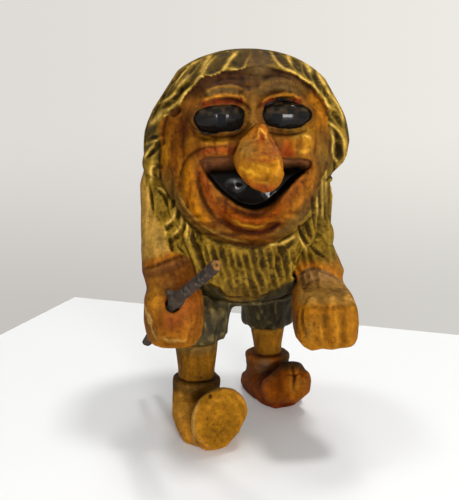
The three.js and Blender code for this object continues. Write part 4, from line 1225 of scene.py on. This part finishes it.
def stain_temples(paint):
    """Forehead, with painted shade below the hair's rim, temples and the sides of the cheeks, with painted
    shade at the face's right side.
    """
    u, v = paint.u, paint.v
    # Painted shade: the forehead darkens towards the hair's overhanging rim
    paint.tint(smooth(104, 92, v), (0.090, 0.036, 0.007))
    paint.dab((258, 68, 12, 11), (0.19, 0.125, 0.042), 0.9)
    paint.tint(smooth(303, 312, u) * smooth(86, 100, v) * smooth(142, 128, v), (0.43, 0.177, 0.013), 0.9)
    # Painted shade: the right side of the face below the eye is darker brown
    paint.tint(smooth(312, 322, u) * smooth(122, 135, v), (0.20, 0.095, 0.018), 0.85)
    paint.dab((324, 158, 8, 14), (0.20, 0.125, 0.035), 0.8)
    paint.tint(smooth(198, 190, u) * smooth(112, 124, v), (0.29, 0.112, 0.008), 0.9)
    paint.stroke([(163, 138), (166, 152), (165, 168)], 4, (0.46, 0.22, 0.012), 0.8)
    paint.dab((184, 130, 9, 22), (0.074, 0.019, 0.004), 0.95)
    paint.dab((176, 155, 6, 10), (0.30, 0.12, 0.012), 0.6)
    paint.stroke(RIGHT_SIDEBURN, 7.5, (0.16, 0.095, 0.020), 0.95)
    paint.stroke(LEFT_SIDEBURN, 6.5, (0.17, 0.105, 0.030), 0.9)


def stain_brows(paint):
    """Brows, lids, lashes and the bridge of the nose."""
    for brow in (RIGHT_BROW, LEFT_BROW):
        paint.stroke(brow, 3.4, (0.16, 0.100, 0.036), 0.9)
    paint.tint(paint.line(LEFT_BROW_TOP, 4) * (0.4 + 0.6 * hatching(paint)), (0.29, 0.16, 0.032), 0.9)
    paint.stroke(RIGHT_BROW_TOP, 1.5, (0.36, 0.19, 0.035), 0.9)
    for outline in (RIGHT_EYE, LEFT_EYE):
        away = paint.edge(outline)
        paint.tint(np.exp(-((np.maximum(away, 0) / 5) ** 2)), (0.12, 0.055, 0.012), 0.7)
    for lid in (RIGHT_LID, LEFT_LID):
        paint.stroke(lid, 2.2, (0.60, 0.28, 0.040), 0.95)
    paint.stroke(BRIDGE, 7, (0.30, 0.155, 0.035), 0.85)
    for lash_u, lash_v in LASHES:
        paint.dab((lash_u, lash_v, *LASH_SIZE), (0.19, 0.034, 0.010), 0.95, load=1.7)


def stain_cheeks(paint):
    """Cheeks below the eyes and the wart."""
    paint.dab((213, 142, 22, 6.5), (0.42, 0.205, 0.020), 0.9)
    paint.dab((301, 132, 12, 5), (0.30, 0.185, 0.026), 0.85)
    paint.dab((322, 150, 9, 9), (0.27, 0.14, 0.022), 0.6)
    paint.stroke([(199, 154), (210, 150.5), (222, 149.5), (236, 149.5)], 4.2, (0.33, 0.085, 0.016), 0.95)
    paint.dab((285, 152, 7, 7), (0.30, 0.060, 0.012), 0.9)
    paint.stroke([(288, 141), (291, 148), (289, 156)], 4.5, (0.34, 0.062, 0.010), 0.95)
    paint.dab((*CHEEK_WART, 9, 8), (0.47, 0.225, 0.022), 0.9, load=2.2)
    paint.stroke([(294, 138), (302, 135), (311, 138)], 1.8, (0.68, 0.42, 0.08), 0.85)
    paint.stroke([(296, 149), (303, 151.5), (310, 149)], 2.2, (0.66, 0.36, 0.05), 0.85)


def stain_folds(paint):
    """Folds beside the mouth, lips and chin."""
    paint.stroke([(187, 165), (187, 182), (190, 198), (197, 212), (208, 224)], 6.5, (0.46, 0.19, 0.004), 0.95)
    paint.stroke([(201, 165), (204, 182), (210, 198), (219, 211), (232, 222)], 6, (0.31, 0.085, 0.010), 0.95)
    paint.stroke([(315, 168), (310, 184), (302, 197), (292, 208), (283, 218)], 6.5, (0.37, 0.15, 0.014), 0.9)
    paint.stroke([(305, 177), (295, 190), (284, 203)], 4.5, (0.27, 0.085, 0.012), 0.9)
    paint.dab((247, 238, 34, 6), (0.165, 0.056, 0.003), 0.9)
    paint.stroke(UNDER_LIP, 3.2, (0.20, 0.050, 0.006), 0.9)
    paint.stroke(LOWER_LIP, 5.6, (0.27, 0.066, 0.002), 0.95)
    paint.stroke([(233, 220), (246, 226), (258, 226.5), (270, 222)], 1.6, (0.58, 0.30, 0.030), 0.8)
    paint.stroke([(240, 216), (252, 219), (264, 217)], 1.2, (0.20, 0.040, 0.008), 0.8)
    paint.stroke(INNER_LIP, 2.4, (0.13, 0.036, 0.008), 0.95)
    paint.stroke(JAW, 1.2, (0.42, 0.26, 0.065), 0.6)


def streak_face(paint, points):
    """Streaks of the brush, upright on the cheeks and level on the chin, and specks of soot."""
    u, v = paint.u, paint.v
    flow = np.stack([u * 0.28, v * 0.05, u * 0], axis=-1)
    bent = np.stack([u * 0.05, v * 0.28, u * 0], axis=-1)
    low = smooth(206, 216, v)
    streak = mottle(flow, 1, 61) * (1 - low) + mottle(bent, 1, 62) * low
    skin = smooth(128, 140, v) + 0.4
    thin = smooth(0.58, 0.78, streak) * skin * 0.4
    thick = smooth(0.44, 0.24, streak) * skin * 0.6
    paint.colour = mix(paint.colour, paint.colour * 1.25 + (0.04, 0.02, 0.0), thin)
    paint.colour = mix(paint.colour, paint.colour * (0.55, 0.42, 0.40), thick)
    grimy = paint.spot(303, 176, 10, 12) + paint.spot(290, 129, 22, 5)
    soot = smooth(0.56, 0.74, mottle(points, 0.8, 63)) * grimy
    paint.colour = mix(paint.colour, (0.040, 0.020, 0.008), soot * 0.8)


def stain_mouth(paint):
    """Makes the mouth dark in its depth, as black paint with painted shade, and glossy at its gleams, and
    gives the share of each place in it.
    """
    u = paint.u
    lips = paint.edge(MOUTH)
    from_top = paint.gap(curve(MOUTH_TOP, 30))[0]
    inside = smooth(0.8, -0.8, lips)
    # Black paint with painted shade: brown just under the upper lip, black further in, darkening sooner at
    # the right, under the cheek
    corner = np.maximum(smooth(214, 202, u), smooth(296, 308, u))
    start = 6 + 2 * corner - 5 * smooth(272, 292, u)
    depth = smooth(start, start + 10 + 2 * corner, from_top)
    throat = mix((0.235, 0.100, 0.042), (0.010, 0.006, 0.003), depth)
    paint.colour = mix(paint.colour, throat, inside)
    gleam = np.zeros(len(u))
    for across, down, wide in MOUTH_GLEAMS:
        gleam = np.maximum(gleam, paint.spot(across, down, wide + 2, 8))
    paint.shine(inside * (0.4 + 0.6 * gleam))
    return inside


def paint_face(points, normals, ridge, hollow):
    """The face, from its base colour to the black rims of the eyes."""
    paint = Paint(points, normals, (0.27, 0.115, 0.018))
    paint.facing[:] = 1
    stain_temples(paint)
    stain_brows(paint)
    stain_cheeks(paint)
    stain_folds(paint)
    streak_face(paint, points)
    inside = stain_mouth(paint)
    # Wear, dark glaze and painted shade in the hollows, kept out of the mouth
    skin_wear_and_shade = wear_and_shade(paint.colour, points, ridge, hollow * (1 - inside), glaze_and_shade=0.8, pale=0.15)
    for outline in (RIGHT_EYE, LEFT_EYE):
        black = smooth(0.9, -0.9, paint.edge(outline))
        skin_wear_and_shade = mix(skin_wear_and_shade, (0.010, 0.008, 0.006), black)
        paint.shine(black)
    return skin_wear_and_shade, paint.gloss


def paint_trunk(points, normals, ridge, hollow):
    """Hair all over, and the face where it is let in."""
    colour = paint_hair(points, normals, ridge, hollow)
    gloss = np.zeros(len(points))
    on_face = in_face[cells(x_axis, points[:, 0]), cells(z_axis, points[:, 2])]
    share = smooth(0.3, 0.7, on_face) * (points[:, 1] < FACE_BACK_Y)
    skin = np.flatnonzero(share > 0)
    skin_colour, skin_gloss = paint_face(points[skin], normals[skin], ridge[skin], hollow[skin])
    colour[skin] = mix(colour[skin], skin_colour, share[skin])
    gloss[skin] = skin_gloss * share[skin]
    return colour, gloss


def paint_nose(points, normals, ridge, hollow):
    """The nose with its streaks, dark tip and wart."""
    paint = Paint(points, normals, (0.42, 0.165, 0.014), 1.6)
    paint.dab((246, 150, 10, 12), (0.33, 0.185, 0.035), 0.85)
    paint.dab((277, 143, 8, 12), (0.34, 0.115, 0.045), 0.9)
    paint.dab((262, 172, 20, 10), (0.50, 0.235, 0.009), 0.95)
    for path, wide, shade in (
        ([(239, 168), (250, 171), (260, 177)], 1.4, (0.78, 0.46, 0.05)),
        ([(252, 163), (262, 166), (270, 172)], 1.3, (0.74, 0.43, 0.05)),
        ([(276, 156), (279, 166), (276, 178)], 1.8, (0.74, 0.40, 0.06)),
        ([(244, 158), (256, 159), (268, 161), (280, 158)], 1.5, (0.36, 0.070, 0.018)),
        ([(240, 175), (250, 183), (262, 187)], 1.6, (0.40, 0.090, 0.014)),
        ([(262, 150), (268, 154), (276, 152)], 1.4, (0.40, 0.085, 0.022)),
        ([(252, 181), (262, 183), (272, 180)], 1.3, (0.66, 0.36, 0.04)),
    ):
        paint.stroke(path, wide, shade, 0.5)
    paint.dab((265, 189, 15, 4.5), (0.24, 0.050, 0.010), 0.95)
    paint.dab((261, 134, 4.6, 8), (0.32, 0.074, 0.010), 0.95, load=1.6)
    paint.stroke([(256.5, 140), (261, 127.5), (265, 134), (266, 141)], 1.3, (0.74, 0.40, 0.07), 0.95)
    return wear_and_shade(paint.colour, points, ridge, hollow, glaze_and_shade=0.7, pale=0.15), None


SLEEVE_MANE = [
    (144, 176), (148, 190), (151, 204), (153, 214), (160, 223), (164, 236), (169, 249), (180, 254),
    (200, 250), (200, 165), (150, 160),
]
RIGHT_CUFF_EDGE = [(136, 267), (143, 268), (155, 265), (166, 261), (175, 257), (190, 252)]
LEFT_CUFF_EDGE = [(292, 280), (300, 273), (308, 268), (320, 269), (334, 275), (346, 283)]


def below_line(paint, points):
    """How far below a line of the picture places are, in its points."""
    path = curve(points, 30)
    return paint.v - np.interp(paint.u, path[:, 0], path[:, 1])


def hand_share(paint, points, low):
    """1 on the hand: below the cuff's edge where the camera sees it, and below the seam elsewhere."""
    return np.where(paint.facing > 0.3, smooth(-1.2, 1.2, low), smooth(61.5, 59.5, points[:, 2]))


def paint_right_arm(points, normals, ridge, hollow):
    """Ochre sleeve, hand below the cuff, and the mane that hangs over the sleeve."""
    ochre = mix((0.60, 0.37, 0.090), (0.46, 0.27, 0.060), mottle(points / (1, 1, 2.5), 4, 51))
    paint = Paint(points, normals, ochre)
    mane = smooth(1.5, -1.5, paint.edge(SLEEVE_MANE)) * paint.facing
    paint.dab((161, 241, 6, 9), (0.24, 0.16, 0.050), 0.8)
    low = below_line(paint, RIGHT_CUFF_EDGE)
    paint.tint(smooth(-12, -3, low), (0.35, 0.125, 0.008), 0.9)
    sleeve = wear_and_shade(paint.colour, points, ridge, hollow)
    hand = paint_right_hand(points, normals, ridge, hollow)
    colour = mix(sleeve, hand, hand_share(paint, points, low))
    return mix(colour, paint_hair(points, normals, ridge, hollow), mane), None


def paint_left_arm(points, normals, ridge, hollow):
    """Brown sleeve, hand below the cuff, and the mane above."""
    ochre = mix((0.42, 0.20, 0.022), (0.30, 0.14, 0.022), mottle(points / (1, 1, 2.5), 4, 52))
    paint = Paint(points, normals, ochre)
    low = below_line(paint, LEFT_CUFF_EDGE)
    paint.tint(smooth(-12, -2, low), (0.44, 0.17, 0.016), 0.8)
    sleeve = wear_and_shade(paint.colour, points, ridge, hollow)
    hand = paint_left_hand(points, normals, ridge, hollow)
    colour = mix(sleeve, hand, hand_share(paint, points, low))
    mane = smooth(66, 70, points[:, 2] + 2.5 * (mottle(points, 3, 53) - 0.5))
    return mix(colour, paint_hair(points, normals, ridge, hollow), mane), None


def paint_right_hand(points, normals, ridge, hollow):
    """The fist round the staff, with painted shade under the cuff."""
    paint = Paint(points, normals, (0.30, 0.120, 0.011), 2.0)
    # Painted shade under the cuff: the top of the fist and a purplish band along the cuff's edge
    paint.tint(smooth(290, 276, paint.v), (0.25, 0.098, 0.016), 0.9)
    paint.dab((163, 319, 13, 14), (0.15, 0.047, 0.003), 0.85)
    paint.stroke([(148, 274), (160, 270), (174, 265), (192, 259)], 6, (0.20, 0.085, 0.026), 0.95)
    paint.dab((182, 300, 19, 20), (0.25, 0.075, 0.012), 0.9, load=1.5)
    paint.dab((172, 322, 8, 6), (0.24, 0.070, 0.012), 0.9, load=1.5)
    paint.dab((155, 296, 7, 18), (0.46, 0.225, 0.024), 0.7)
    paint.dab((168, 285, 9, 7), (0.37, 0.165, 0.040), 0.85)
    paint.stroke([(144, 303), (149, 317), (153, 330), (158, 340)], 1.2, (0.60, 0.40, 0.13), 0.8)
    paint.stroke([(161, 338), (172, 341), (186, 340)], 1.2, (0.52, 0.32, 0.09), 0.7)
    return wear_and_shade(paint.colour, points, ridge, hollow)


def paint_left_hand(points, normals, ridge, hollow):
    """The hanging fist with lighter fingers."""
    paint = Paint(points, normals, (0.345, 0.150, 0.010), 1.6)
    paint.tint(smooth(308, 300, paint.v), (0.38, 0.215, 0.052), 0.9)
    paint.tint(smooth(288, 276, paint.v), (0.29, 0.160, 0.062), 0.9)
    paint.tint(smooth(303, 295, paint.u), (0.30, 0.115, 0.012), 0.8)
    paint.dab((309, 284, 7, 6), (0.15, 0.075, 0.026), 0.5)
    paint.dab((308, 331, 4, 10), (0.23, 0.125, 0.028), 0.7)
    for u in (321, 338):
        paint.stroke([(u, 312), (u, 326), (u + 1, 344)], 2.2, (0.56, 0.27, 0.028), 0.7)
    return wear_and_shade(paint.colour, points, ridge, hollow)


def paint_breeches(points, normals, ridge, hollow):
    """Dark breeches, darker at the figure's left, with rubbed flecks."""
    colour = mix((0.105, 0.084, 0.036), (0.050, 0.041, 0.019), mottle(points, 5, 81))
    colour = mix(colour, colour * 0.62, smooth(-2, 6, points[:, 0]))
    colour = mix(colour, (0.22, 0.17, 0.065), smooth(0.6, 0.85, mottle(points / (1, 1, 2), 1.4, 82)) * 0.6)
    return wear_and_shade(colour, points, ridge * 0.6, hollow, glaze_and_shade=0.6, pale=0.6), None


def paint_leg(points, normals, ridge, hollow):
    """Bare shins, darker under the hem and at the boot."""
    colour = mix((0.265, 0.120, 0.007), (0.175, 0.082, 0.008), mottle(points / (1, 1, 2), 4, 91))
    colour = mix(colour, (0.13, 0.085, 0.028), smooth(29, 33, points[:, 2]) * 0.8)
    colour = mix(colour, colour * 0.6, smooth(22.5, 19, points[:, 2]))
    return wear_and_shade(colour, points, ridge, hollow), None


def paint_right_boot(points, normals, ridge, hollow):
    """The yellow boot with its dark cuff, and rings on the sliced toe."""
    colour = mix((0.47, 0.225, 0.022), (0.39, 0.185, 0.026), mottle(points, 7, 101))
    paint = Paint(points, normals, colour, 1.4)
    cuff = smooth(13.6, 15.6, points[:, 2]) * smooth(-24, -20, points[:, 1])
    paint.colour = mix(paint.colour, (0.086, 0.043, 0.009), cuff)
    paint.dab((202, 388, 10, 8), (0.17, 0.092, 0.020), 0.9)
    paint.dab((185, 405, 9, 16), (0.70, 0.37, 0.066), 0.85)
    paint.stroke([(203, 399), (196, 409), (193, 425), (195, 444)], 1.5, (0.52, 0.34, 0.11), 0.8)
    paint.stroke([(203, 393), (215, 389), (230, 387), (240, 389)], 2.4, (0.22, 0.13, 0.032), 0.8)
    rings = 0.5 + 0.5 * np.sin(np.hypot(paint.u - 205, (paint.v - 455) * 0.8) * 0.95)
    facet = smooth(30, 27, np.hypot((paint.u - 221) * 1.1, paint.v - 420))
    paint.tint(facet, (0.355, 0.172, 0.010), 0.9)
    paint.tint(facet * rings, (0.28, 0.125, 0.008), 0.5)
    paint.dab((210, 396, 1.6, 1.6), (0.03, 0.015, 0.006), 0.9)
    return wear_and_shade(paint.colour, points, ridge, hollow), None


def paint_left_boot(points, normals, ridge, hollow):
    """The red boot with its dark instep."""
    colour = mix((0.28, 0.090, 0.004), (0.20, 0.055, 0.004), mottle(points, 6, 111))
    paint = Paint(points, normals, colour, 1.6)
    paint.colour = mix(paint.colour, (0.16, 0.024, 0.001), smooth(5, 1.5, points[:, 2]))
    paint.dab((263, 368, 10, 12), (0.125, 0.080, 0.050), 0.95)
    paint.tint(smooth(375, 366, paint.v) * smooth(276, 286, paint.u), (0.055, 0.030, 0.010), 0.95)
    paint.dab((296, 386, 9, 10), (0.265, 0.112, 0.005), 0.8)
    paint.dab((262, 386, 9, 12), (0.36, 0.105, 0.014), 0.8)
    paint.stroke([(293, 371), (294, 377), (293, 384)], 1.6, (0.06, 0.022, 0.006), 0.6)
    return wear_and_shade(paint.colour, points, ridge, hollow), None


# The middle of the staff's sawn end and the way its head points, in the figure's frame
STAFF_END = np.array([-15.7, -65.1, 77.5])
STAFF_BEND = np.array([0.366, -0.763, 0.532])


def paint_staff(points, normals, ridge, hollow):
    """Bark, and the sawn end with its pith."""
    colour = mix((0.060, 0.040, 0.026), (0.022, 0.016, 0.013), mottle(points, 2, 121))
    colour = mix(colour, (0.13, 0.098, 0.075), smooth(0.66, 0.82, mottle(points, 0.9, 122)) * 0.7)
    ahead = (points - STAFF_END) @ STAFF_BEND
    cut = smooth(0.75, 0.9, normals @ STAFF_BEND) * smooth(-2.5, -1.2, ahead)
    off_axis = np.linalg.norm((points - STAFF_END) - ahead[:, None] * STAFF_BEND, axis=1)
    sawn = mix((0.30, 0.14, 0.028), (0.11, 0.044, 0.010), mottle(points, 0.8, 123))
    sawn = mix(sawn, (0.05, 0.028, 0.012), smooth(0.75, 0.35, off_axis))
    return mix(colour, sawn, cut), None


PUPILS = [(221.8, 120, 4.4, 6.4), (277, 118, 5.2, 4.8)]


def paint_eye(points, normals, ridge, hollow):
    """Black lacquer with a brown cast painted on its upper half as a soft reflection, and matt pupils."""
    paint = Paint(points, normals, (0.006, 0.005, 0.004), 0.4)
    matt = np.zeros(len(points))
    for u, v, wide, tall in PUPILS:
        pupil = smooth(1.12, 0.94, np.maximum(np.abs(paint.u - u) / wide, np.abs(paint.v - v) / tall))
        matt = np.maximum(matt, pupil)
    # Painted reflection: a brown sheen where the eye faces upwards
    brown = smooth(0.45, 0.75, mottle(points, 1.6, 131)) * smooth(-0.1, 0.4, normals[:, 2])
    paint.colour = mix(paint.colour, (0.036, 0.022, 0.010), brown)
    paint.colour = mix(paint.colour, (0.003, 0.003, 0.004), matt)
    return paint.colour, 1 - matt


# Materials

SMOOTHEST = 0.07
BUMP_MM = 0.4


def node(tree, kind, **values):
    """A new node with some of its properties set."""
    made = tree.nodes.new(kind)
    for key, value in values.items():
        setattr(made, key, value)
    return made


def put(tree, socket, value):
    """Sets a socket, or links it where the value is a socket too."""
    if isinstance(value, bpy.types.NodeSocket):
        tree.links.new(value, socket)
    else:
        socket.default_value = value


def feed(tree, made, **values):
    """Fills sockets by name, with underscores for spaces."""
    for key, value in values.items():
        put(tree, made.inputs[key.replace("_", " ")], value)


def reckon(tree, operation, first, second, third=0.0):
    """The result of a sum with values or sockets."""
    made = node(tree, "ShaderNodeMath", operation=operation)
    for socket, value in zip(made.inputs, (first, second, third)):
        put(tree, socket, value)
    return made.outputs[0]


def noise(tree, where, per_mm, detail):
    """Random values in spots, so many to the millimetre."""
    made = node(tree, "ShaderNodeTexNoise")
    feed(tree, made, Vector=where, Scale=per_mm / MM, Detail=detail, Roughness=0.6)
    return made.outputs["Fac"]


def soft_step(tree, value, start, end, low, high):
    """Goes softly from low to high while a value goes from start to end."""
    made = node(tree, "ShaderNodeMapRange", interpolation_type="SMOOTHSTEP")
    feed(tree, made, Value=value, From_Min=start, From_Max=end, To_Min=low, To_Max=high)
    return made.outputs[0]


def new_material(name):
    """A material with its node tree and its shader."""
    material = bpy.data.materials.new(name)
    material.use_nodes = True
    return material, material.node_tree, material.node_tree.nodes["Principled BSDF"]


def wood(name, roughness, grain=0.35, bump=0.35, plain=None, gloss=0.0, specular=0.45):
    """Wood in its stain or a plain colour, with growth rings, fibres, specks, patchy gloss and fine bumps."""
    material, tree, shader = new_material(name)
    coords = node(tree, "ShaderNodeTexCoord").outputs["Object"]
    stretched = node(tree, "ShaderNodeMapping")
    feed(tree, stretched, Vector=coords, Scale=(1.0, 1.0, 0.10))
    fibres = noise(tree, stretched.outputs[0], 2.2, 6.0)
    spots = noise(tree, coords, 0.9, 5.0)
    fine = noise(tree, coords, 2.6, 3.0)
    rings = node(tree, "ShaderNodeTexWave", wave_type="RINGS", rings_direction="Z", wave_profile="SIN")
    feed(tree, rings, Vector=coords, Scale=110.0, Distortion=5.0, Detail=2.0, Detail_Scale=1.2)
    shade = reckon(tree, "MULTIPLY_ADD", fibres, grain, 1.0 - grain * 0.5)
    shade = reckon(tree, "MULTIPLY", shade, reckon(tree, "MULTIPLY_ADD", rings.outputs["Fac"], 0.16, 0.92))
    shade = reckon(tree, "MULTIPLY", shade, reckon(tree, "MULTIPLY_ADD", spots, 0.9, 0.55))
    specks = soft_step(tree, fine, start=0.56, end=0.70, low=1.04, high=0.5)
    shade = reckon(tree, "MULTIPLY", shade, specks)
    tinted = node(tree, "ShaderNodeVectorMath", operation="SCALE")
    feed(tree, tinted, Scale=shade)
    rough = reckon(tree, "MULTIPLY_ADD", spots, 0.3, roughness - 0.15)
    if plain is None:
        stain = node(tree, "ShaderNodeAttribute", attribute_name="stain")
        put(tree, tinted.inputs[0], stain.outputs["Color"])
        rough = reckon(tree, "SUBTRACT", rough, reckon(tree, "MULTIPLY", stain.outputs["Alpha"], gloss))
        rough = reckon(tree, "MAXIMUM", rough, SMOOTHEST)
    else:
        put(tree, tinted.inputs[0], plain)
    height = reckon(tree, "ADD", fine, reckon(tree, "MULTIPLY", fibres, 0.8))
    relief = node(tree, "ShaderNodeBump")
    feed(tree, relief, Height=height, Strength=bump, Distance=BUMP_MM * MM)
    feed(tree, shader, Base_Color=tinted.outputs[0], Roughness=rough, Normal=relief.outputs[0])
    feed(tree, shader, Specular_IOR_Level=specular)
    return material


stained = wood("stained_wood", roughness=0.60, gloss=0.45, specular=0.045)
trouser = wood("trouser_wood", roughness=0.60, grain=0.5, bump=0.5, specular=0.12)
bark = wood("bark", roughness=0.75, grain=0.6, bump=0.8, specular=0.12)
lacquer = wood("black_lacquer", roughness=0.80, grain=0.1, bump=0.02, gloss=0.72, specular=0.15)
bare = wood("bare_pine", roughness=0.65, grain=0.4, bump=0.4, plain=(0.62, 0.42, 0.20))


# Pieces

WET = 0.6
BROAD_MM = 1.5


def show(name, data):
    """A new object in the scene."""
    made = bpy.data.objects.new(name, data)
    bpy.context.scene.collection.objects.link(made)
    return made


def split(mesh, height, keep_above):
    """Saws a mesh through at the height of a seam, and closes the sawn face."""
    work = bmesh.new()
    work.from_mesh(mesh)
    sawn = bmesh.ops.bisect_plane(
        work,
        geom=[*work.verts, *work.edges, *work.faces],
        plane_co=metres(0, 0, height),
        plane_no=UP,
        clear_inner=keep_above,
        clear_outer=not keep_above,
    )
    rim = [item for item in sawn["geom_cut"] if isinstance(item, bmesh.types.BMEdge)]
    for edge in rim:
        edge.smooth = False
    out = (0, 0, -1 if keep_above else 1)
    filled = bmesh.ops.triangle_fill(work, edges=rim, normal=out, use_beauty=False)
    for item in filled["geom"]:
        if isinstance(item, bmesh.types.BMFace):
            item.smooth = False
    work.to_mesh(mesh)
    work.free()


def finished(block, paint):
    """Surface of a block with its stain and gloss."""
    points, quads = block.shell()
    normals = block.slope(points)
    soft = softened(block.field, 7)
    softer = spread(soft, max(1, round(BROAD_MM / block.voxel)))
    near = block.sample(points, soft)
    wide = block.sample(points, softer)
    ridge = ramp(near, 8.0, 0.15) * 0.6 + ramp(wide, 1.8, 0.1) * 0.5
    hollow = ramp(-near, 6.0, 0.1) * 0.6 + ramp(-wide, 1.6, 0.05) * 0.6
    colour, gloss = paint(points, normals, np.clip(ridge, 0, 1), np.clip(hollow, 0, 1))
    gloss = np.zeros(len(points)) if gloss is None else gloss
    return points, quads, np.column_stack([np.clip(colour, 0, 1), np.clip(gloss, 0, 1)])


def assemble(name, surface, body, material, seam=None, keep_above=True):
    """Makes a piece from a surface, or from the part of it on one side of a seam, in place of a CAD node."""
    points, quads, stain = surface
    mesh = bpy.data.meshes.new(name)
    mesh.vertices.add(len(points))
    mesh.vertices.foreach_set("co", (points * MM + ORIGIN).ravel())
    mesh.loops.add(quads.size)
    mesh.loops.foreach_set("vertex_index", quads.ravel())
    mesh.polygons.add(len(quads))
    mesh.polygons.foreach_set("loop_start", np.arange(0, quads.size, 4))
    mesh.polygons.foreach_set("use_smooth", np.ones(len(quads), dtype=bool))
    mesh.update(calc_edges=True)
    # The stain colours also hold painted shade and painted reflections
    layer = mesh.color_attributes.new("stain", "FLOAT_COLOR", "POINT")
    layer.data.foreach_set("color", stain.ravel())
    mesh.materials.append(material)
    wet = stain[:, 3][quads].min(axis=1) > WET
    if material == stained and wet.any():
        mesh.materials.append(lacquer)
        mesh.polygons.foreach_set("material_index", wet.astype(np.int32))
    if seam is not None:
        split(mesh, seam, keep_above)
    piece = show("carved_" + name, mesh)
    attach(piece, body)
    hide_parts(name)


trunk_surface = finished(trunk, paint_trunk)
assemble("head", trunk_surface, "figure", stained, NECK_SEAM, True)
assemble("torso", trunk_surface, "figure", stained, NECK_SEAM, False)
for side, block, paint in (("right", right_arm, paint_right_arm), ("left", left_arm, paint_left_arm)):
    arm_surface = finished(block, paint)
    assemble(side + "_arm", arm_surface, "figure", stained, CUFF_SEAM, True)
    assemble(side + "_hand", arm_surface, "figure", stained, CUFF_SEAM, False)
for name, block, paint in (
    ("nose", nose, paint_nose),
    ("right_leg", right_leg, paint_leg),
    ("left_leg", left_leg, paint_leg),
    ("right_boot", right_boot, paint_right_boot),
    ("left_boot", left_boot, paint_left_boot),
):
    assemble(name, finished(block, paint), "figure", stained)
assemble("breeches", finished(breeches, paint_breeches), "figure", trouser)
for name, block in eyes.items():
    assemble(name, finished(block, paint_eye), "figure", lacquer)
assemble("staff", finished(staff, paint_staff), "staff", bark)
for name in dowels:
    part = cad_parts[name]
    part.data.materials.clear()
    part.data.materials.append(bare)


# Stage, light and camera

def pale(name, colour, roughness):
    """A plain matt colour."""
    material, tree, shader = new_material(name)
    feed(tree, shader, Base_Color=(*colour, 1), Roughness=roughness)
    return material


def by_ray(tree, shown, other, output):
    """Shows one shader to the camera, in glosses and through glass. The other one lights the scene."""
    path = node(tree, "ShaderNodeLightPath").outputs
    direct = reckon(tree, "MAXIMUM", path["Is Camera Ray"], path["Is Glossy Ray"])
    direct = reckon(tree, "MAXIMUM", direct, path["Is Transmission Ray"])
    both = node(tree, "ShaderNodeMixShader")
    for socket, value in zip(both.inputs, (direct, other.outputs[0], shown.outputs[0])):
        put(tree, socket, value)
    feed(tree, tree.nodes[output], Surface=both.outputs[0])


def backdrop():
    """A wall that shows at its own pale shade, with painted light that makes it a little lighter to the right
    and darker low down.
    """
    material = pale("wall_grey", (0.70, 0.69, 0.67), 0.9)
    tree = material.node_tree
    place = node(tree, "ShaderNodeSeparateXYZ")
    feed(tree, place, Vector=node(tree, "ShaderNodeTexCoord").outputs["Object"])
    # Painted light: the wall's glow rises to the right and falls low down
    across = soft_step(tree, place.outputs["X"], start=-0.45, end=0.9, low=0.0, high=1.0)
    up = soft_step(tree, place.outputs["Z"], start=-0.45, end=0.08, low=0.76, high=1.0)
    # The colours of a mix are its sockets 6 and 7, and the result is its output 2
    shade = node(tree, "ShaderNodeMix", data_type="RGBA")
    put(tree, shade.inputs[0], across)
    put(tree, shade.inputs[6], (0.740, 0.712, 0.680, 1))
    put(tree, shade.inputs[7], (0.850, 0.830, 0.780, 1))
    glow = node(tree, "ShaderNodeEmission")
    feed(tree, glow, Color=shade.outputs[2], Strength=up)
    by_ray(tree, glow, tree.nodes["Principled BSDF"], "Material Output")
    return material


def sheet(name, corners, material):
    """A flat face of the stage."""
    mesh = bpy.data.meshes.new(name)
    mesh.from_pydata([metres(*corner) for corner in corners], [], [range(len(corners))])
    mesh.materials.append(material)
    made = show(name, mesh)


TABLE_CORNER = np.array([-93.5, 180.9])
TABLE_LEFT = np.array([-31.8, -75.5])
TABLE_BACK = np.array([222.2, -96.7])
TABLE_Z = -0.05
WALL_SIDE = 3000
WALL_Y = 1500
WALL_LOW = -1500
WALL_HIGH = 2500
left_end = TABLE_CORNER + TABLE_LEFT * 20
back_end = TABLE_CORNER + TABLE_BACK * 8
table_corners = [(x, y, TABLE_Z) for x, y in (TABLE_CORNER, left_end, (2000, -2000), back_end)]
wall_sides = ((-WALL_SIDE, WALL_LOW), (WALL_SIDE, WALL_LOW), (WALL_SIDE, WALL_HIGH), (-WALL_SIDE, WALL_HIGH))
sheet("table", table_corners, pale("table_white", (0.94, 0.94, 0.925), 0.6))
sheet("wall", [(x, WALL_Y, z) for x, z in wall_sides], backdrop())


def lamp(name, place, target, size, watts):
    """A flat lamp at a place that faces a target, with its width and height in metres."""
    light = bpy.data.lights.new(name, "AREA")
    light.shape = "RECTANGLE"
    light.size, light.size_y = size
    light.energy = watts
    made = show(name, light)
    made.location = metres(*place)
    made.rotation_euler = (metres(*target) - metres(*place)).to_track_quat("-Z", "Y").to_euler()


for name, place, watts in (
    ("ceiling_left", (-190, 170, 1000), 1.4),
    ("ceiling_right", (230, 20, 1000), 3.3),
    ("ceiling_back", (60, 330, 1000), 1.4),
):
    lamp(name, place, (0, 0, 60), (0.13, 0.13), watts)
lamp("window", (160, -1100, 230), (0, 0, 100), (0.44, 0.30), 12.3)

world = bpy.data.worlds.new("room")
bpy.context.scene.world = world
world.use_nodes = True
tree = world.node_tree
air = tree.nodes["Background"]
haze = node(tree, "ShaderNodeBackground")
feed(tree, air, Color=(0.95, 0.97, 1.0, 1), Strength=0.35)
feed(tree, haze, Color=(0.80, 0.775, 0.735, 1), Strength=1.0)
by_ray(tree, haze, air, "World Output")

bpy.context.scene.view_settings.view_transform = "Standard"

camera = bpy.data.cameras.new("camera")
camera.sensor_fit = "AUTO"
camera.sensor_width = SENSOR_MM
camera.lens = SENSOR_MM * FOCAL_PX / PICTURE[1]
camera.clip_start = 0.01
viewer = show("camera", camera)
viewer.location = metres(*CAMERA)
viewer.rotation_euler = Vector(LOOK).to_track_quat("-Z", "Y").to_euler()
bpy.context.scene.camera = viewer
